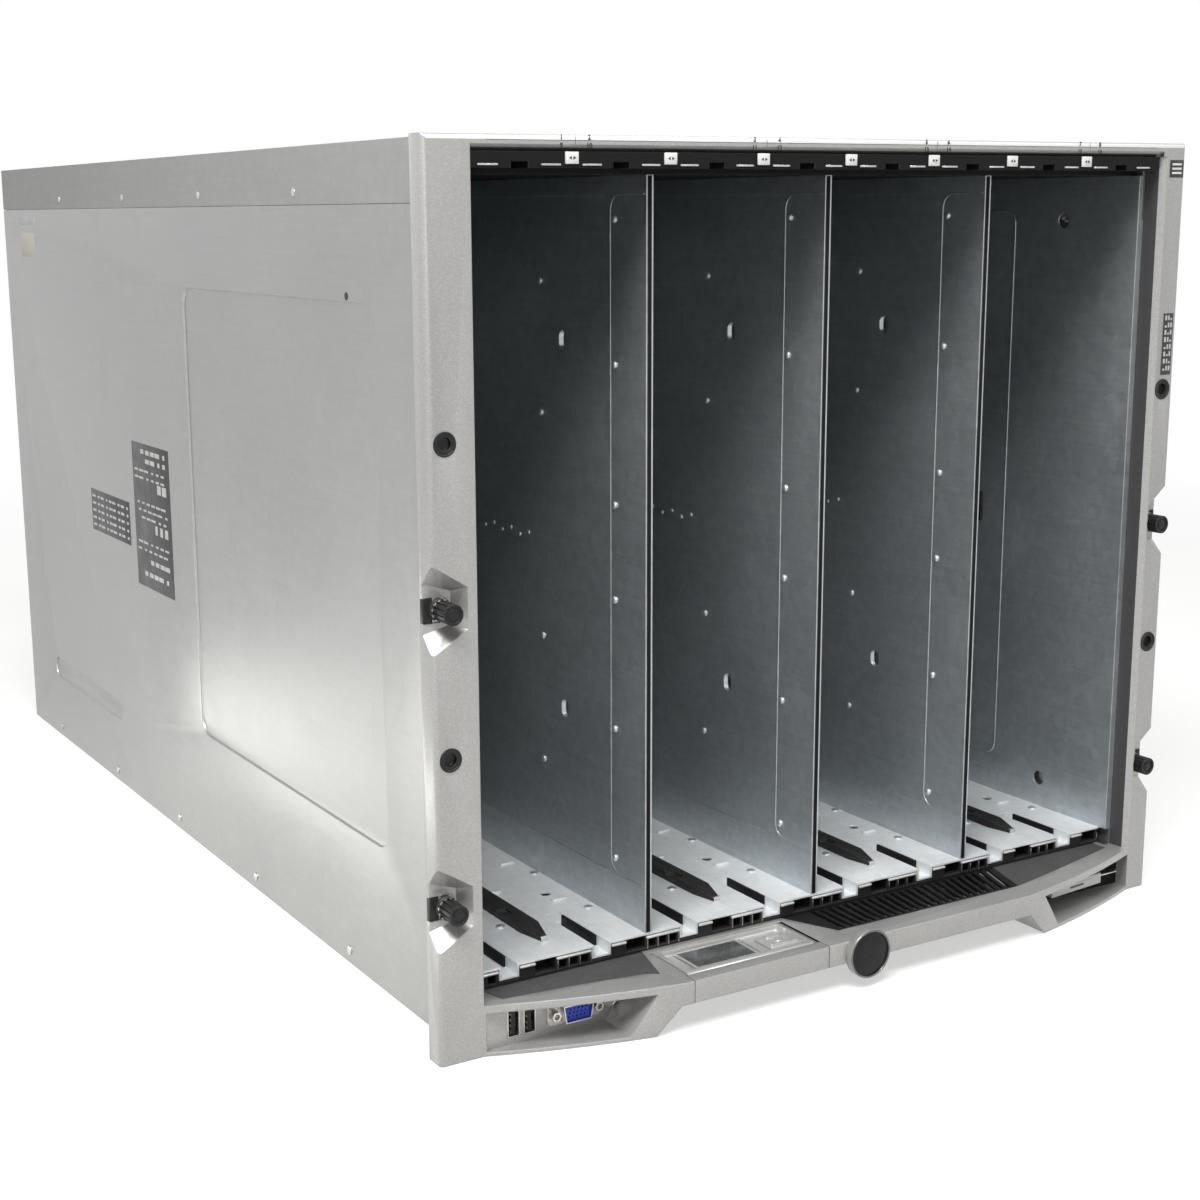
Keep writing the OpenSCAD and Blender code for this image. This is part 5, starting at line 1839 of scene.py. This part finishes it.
@dataclass
class SideDetails(Fittings):
    """Labels, rivets and dimples on the sheet metal sides."""

    # Height, height of the blocks, indent and number of blocks of each row on the rating label
    rows: Sequence[tuple[float, float, int, int]] = (
        (250, 3.0, 0, 5), (244, 3.0, 0, 4), (238, 1.4, 1, 6), (233, 1.4, 1, 6), (226, 6.0, 0, 2),
        (216, 1.4, 1, 6), (211, 1.4, 0, 6), (206, 1.4, 1, 5), (198, 6.0, 0, 3), (189, 1.4, 0, 6),
        (184, 1.4, 1, 6), (176, 3.0, 0, 4), (167, 3.0, 1, 5),
    )

    def on_side(
        self, name: str, ys: tuple[float, float], zs: tuple[float, float], out: float, width: float = 0.0
    ) -> bpy.types.Object:
        """A thin plate on the left side.

        Args:
            name: Name of the plate.
            ys: Where it starts and ends along Y, in millimetres.
            zs: Where it starts and ends in height.
            out: How far it stands out.
            width: Rounding of its edges.

        Returns:
            The plate.
        """
        side = -self.datum.side / MM
        base = 0.05 if width else -0.1
        return self.plate(name, (side - out, ys[0], zs[0]), (side + base, ys[1], zs[1]), width)

    def labels(self) -> None:
        """Bare rating labels with generic printed blocks, and two small pale strips."""
        for name, ys, zs in (("rating_label", (405, 478), (159, 257)), ("notice_label", (490, 576), (183, 213))):
            self.put(self.on_side(name, ys, zs, 0.12, 0.05), "label_black", "dark_plastic")
        marks = []
        for row, (z, tall, skip, count) in enumerate(self.rows):
            for k in range(count):
                y = 412 + skip * 3 + k * 10.4
                ys = (y, min(474, y + 4 + (row * 7 + k * 5) % 6))
                marks.append(self.on_side(f"print_{row}_{k}", ys, (z, z + tall), 0.2))
        for row in range(5):
            zs = (186.5 + row * 5.2, 188.2 + row * 5.2)
            for k in range(9):
                y = 493 + k * 9.1
                ys = (y, min(573.5, y + 3.5 + (row * 5 + k * 3) % 5))
                marks.append(self.on_side(f"notice_{row}_{k}", ys, zs, 0.2))
        self.put(Bench.join(marks, "label_print"), "ink_pale", "white_plastic")
        for name, ys, zs, finish in (
            ("pale_strip", (678, 722), (399, 405), "label_pale"),
            ("tan_label", (685, 719), (375, 393), "label_tan"),
        ):
            self.put(self.on_side(name, ys, zs, 0.1, 0.04), finish, "white_plastic")

    def rivets(self) -> None:
        """Small rivet heads along the lower edge and dimples in the cover's lip."""
        for sign, word in ((-1, "left"), (1, "right")):
            side = sign * (self.datum.side / MM)
            for kind, radius, height, z, ys, finish in (
                ("side_rivets", 2.6, 1.1, 7.5, (143, 281, 417, 549, 690), "rivet_bright"),
                ("lip_rivets", 2.2, 0.7, 417, (185, 328, 470, 612), "zinc_rib"),
            ):
                head = Bench.dome(f"{kind}_pattern_{word}", radius, sign * height, Axis.X)
                places = [self.datum.at(side, y, z) for y in ys]
                self.put(Bench.copies(head, places, f"{kind}_{word}"), finish, "galvanised")
            hole = Bench.rod(f"side_holes_{word}", self.datum.at(side, 122, 365), 2.1 * MM, 0.16 * MM, Axis.X, 20)
            self.put(hole, "ink_black", "dark_plastic")

    def build(self) -> None:
        """Builds the sides' details."""
        self.labels()
        self.rivets()


@dataclass
class SidePanels(Fittings):
    """The sheet metal sides, with the walls of their pressed areas rounded."""

    pressed: Sequence[tuple[float, float, float, float]] = ((84, 371, 74, 368), (526, 704, 43, 69))

    def in_pressing(self, edge: bmesh.types.BMEdge) -> bool:
        """Whether an edge belongs to the outer side of a pressed area.

        Args:
            edge: The edge.

        Returns:
            True for an edge of the pressing's wall, on the outside.
        """
        if len(edge.link_faces) != 2 or edge.calc_face_angle(0) < math.radians(40):
            return False
        for vertex in edge.verts:
            y, z = (vertex.co.y - self.datum.face) / MM, vertex.co.z / MM
            inside = any(y0 < y < y1 and z0 < z < z1 for y0, y1, z0, z1 in self.pressed)
            if not inside or abs(vertex.co.x) < self.datum.side - 1.56 * MM:
                return False
        return True

    def build(self) -> None:
        """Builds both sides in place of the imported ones."""
        for side in ("left", "right"):
            panel = Bench.trace(f"{side}_side_panel", f"{side}_side_sheet")
            with Bench.editing(panel):
                count = Bench.pick(panel, "EDGE", self.in_pressing)
                bpy.ops.mesh.bevel(offset=0.72 * MM, segments=3, affect="EDGES")
            bpy.ops.object.shade_smooth_by_angle(angle=SMOOTH_ANGLE)
            LOG.info("%s side: %d edges rounded", side, count)
            self.put(panel, "zinc_side", "galvanised", stands_for=(f"{side}_side_panel",))


@dataclass
class RearDetails(Fittings):
    """Screw heads and status lamps on the rear faces of the modules and covers."""

    cover_width: float = 32.0
    lamp_pitch: float = 5.0

    def studs(
        self, name: str, spots: Iterable[Point], radius: float, body: str, finish: str = "rivet_bright",
        slot: str = "galvanised",
    ) -> None:
        """Puts a row of low heads on a rear face.

        Args:
            name: Name of the row.
            spots: Where each head sits.
            radius: Radius of a head in millimetres.
            body: The body that it moves with.
            finish: Name of its finish.
            slot: The record's material slot.
        """
        head = Bench.dome(f"{name}_pattern", radius, 0.9, Axis.Y)
        self.put(Bench.copies(head, spots, name), finish, slot, body)

    def build(self) -> None:
        """Builds the heads and the lamps."""
        low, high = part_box("switch_bay_covers")
        face, step, edge = high.y, self.cover_width * MM, 0.3 * MM
        middles = [start + (i + 0.5) * step for start in (low.x - edge, high.x + edge - 3 * step) for i in range(3)]
        spots = [(x, face, z) for x in middles for z in (low.z + 9 * MM, high.z - 9 * MM)]
        self.studs("cover_screws", spots, 2.6, Body.ENCLOSURE.value)
        units = [(f"fan_{i}", f"fan_unit_{i}", 4.2, 12.0) for i in range(1, 10)]
        units += [(f"power_supply_{i}", f"supply_{i}", 5.0, 16.0) for i in range(1, 7)]
        units += [(f"{side}_controller", f"{side}_control", 4.0, 9.0) for side in ("left", "center", "right")]
        for node, body, inset, lamp in units:
            low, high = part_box(node)
            inset, lamp = inset * MM, lamp * MM
            spots = [(x, face, z) for x in (low.x + inset, high.x - inset) for z in (low.z + inset, high.z - inset)]
            self.studs(f"{node}_screws", spots, 1.8, body)
            spots = [(high.x - lamp - k * self.lamp_pitch * MM, face, low.z + inset) for k in (0, 1)]
            self.studs(f"{node}_lamps", spots, 1.1, body, "lamp_green", "white_plastic")


def palette() -> Palette:
    """Builds every finish."""
    made = Palette()
    made.add(
        ZincSheet("zinc_side", color=(0.42, 0.425, 0.415), shade=(0.33, 0.335, 0.33)),
        # Lit and shaded copies of one galvanised sheet: the top is painted darker against the lamps' glare, the bays
        # and trays painted lighter for the light that falls in them
        ZincSheet("zinc_top_painted_shade", color=(0.38, 0.384, 0.376), shade=(0.3, 0.304, 0.3), roughness=0.78, metallic=0.1),
        ZincSheet("zinc_bay_painted_light", color=(0.65, 0.695, 0.72), shade=(0.4, 0.43, 0.45), roughness=0.36, metallic=0.82),
        ZincSheet("zinc_floor_painted_light", color=(0.88, 0.91, 0.93), shade=(0.66, 0.685, 0.7), roughness=0.36, metallic=0.3),
        ZincSheet("zinc_rear", color=(0.52, 0.52, 0.515), shade=(0.42, 0.42, 0.42)),
        ZincSheet("zinc_rib", color=(0.62, 0.64, 0.65), shade=(0.5, 0.52, 0.53), roughness=0.3),
        ZincSheet("module_steel", color=(0.5, 0.5, 0.495), shade=(0.4, 0.4, 0.4), roughness=0.4),
        SilverPaint("silver_paint"),
        SilverPaint("lip_painted_shade", shaded_below=BAND_LOW),
        # A paler copy of the silver paint for the band's front: painted light
        SilverPaint("band_painted_light", color=(0.78, 0.78, 0.77), flake=(0.86, 0.86, 0.85)),
        # A paler copy of the silver paint for the display case and its surround: painted light
        SilverPaint("silver_case_painted_light", color=(0.5, 0.5, 0.49), roughness=0.3),
        SilverPaint("button_silver", color=(0.5, 0.5, 0.49), roughness=0.3),
        MouldedPlastic("rail_black", color=(0.013, 0.013, 0.0135), dustiness=0.1, specular=0.3),
        # Near-black plastic for rails, trims and gaps, darkened further as painted shade; also put on the bay
        # ceiling, the channels and the tag's recess as painted shade
        MouldedPlastic("dark_trim_and_painted_shade", color=(0.007, 0.007, 0.0075), roughness=0.55, dustiness=0.0, specular=0.12),
        # Dark deck plastic, also put on the bezel's inner sides as painted shade
        MouldedPlastic("deck_dark_and_painted_shade", color=(0.042, 0.042, 0.044), roughness=0.6, texture=0.05, specular=0.3),
        MouldedPlastic("grille_dark", (0.042, 0.042, 0.044), roughness=0.6, texture=0.05, specular=0.2,
            black_inside=GRILLE_SHADE),
        MouldedPlastic("fan_black", color=(0.02, 0.02, 0.021), roughness=0.4),
        MouldedPlastic("knob_black", color=(0.008, 0.008, 0.008), roughness=0.34, dustiness=0.08, specular=0.3),
        MouldedPlastic("lamp_green", color=(0.04, 0.42, 0.1), roughness=0.25, dustiness=0.0),
        MouldedPlastic("vga_blue", color=(0.012, 0.045, 0.4), roughness=0.4, dustiness=0.1),
        MouldedPlastic("tag_white", color=(0.66, 0.66, 0.64), dust=(0.5, 0.48, 0.44), roughness=0.4, dustiness=0.15),
        PlatedMetal("socket_steel"),
        PlatedMetal("rivet_bright"),
        PlatedMetal("rivet_white", color=(0.82, 0.84, 0.86), shade=(0.6, 0.62, 0.64), roughness=0.42),
        PlatedMetal("lip_steel", color=(0.8, 0.8, 0.79), shade=(0.6, 0.6, 0.6), roughness=0.38),
        PlatedMetal("ferrule", color=(0.45, 0.44, 0.42), shade=(0.22, 0.215, 0.21), roughness=0.26),
        PlatedMetal("thread_zinc", color=(0.5, 0.49, 0.46), shade=(0.3, 0.29, 0.27), roughness=0.36),
        PlatedMetal("badge_rim", color=(0.2, 0.195, 0.19), shade=(0.1, 0.1, 0.1), roughness=0.28),
        PlatedMetal("gilt", color=(0.72, 0.55, 0.25), shade=(0.5, 0.38, 0.18)),
        GlossLacquer("badge_gloss"),
        CircuitBoard("board"),
        ScreenGlass("screen_glass"),
        Print("ink_black", (0.02, 0.02, 0.02)),
        Print("ink_grey", (0.09, 0.09, 0.09)),
        Print("ink_pale", (0.55, 0.55, 0.54)),
        Print("label_black", (0.028, 0.028, 0.03), 0.4),
        Print("label_pale", (0.5, 0.49, 0.5), 0.45),
        Print("label_tan", (0.56, 0.53, 0.46), 0.5),
    )
    return made


def main() -> None:
    """Builds the finishes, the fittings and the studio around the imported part."""
    logging.basicConfig(level=logging.INFO, format="%(message)s")
    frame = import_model()
    finishes, datum = palette(), Datum.read()
    FrameFinishes(finishes).dress(frame["nodes"])
    knobs = [
        Knob(finishes, datum, f"thumbscrew_{level}_{side}", f"screw_{level}_{side}")
        for level in ("lower", "upper")
        for side in ("left", "right")
    ]
    sub_assemblies = (
        SidePanels, SlotMarks, EarFittings, BayFittings, StripLips, BezelShell, Badge, Sockets, PullTag,
        DisplayDetails, SideDetails, GuideRails, RearDetails,
    )
    for part in [kind(finishes, datum) for kind in sub_assemblies] + knobs:
        part.build()
    Studio().build()


if __name__ == "__main__":
    main()
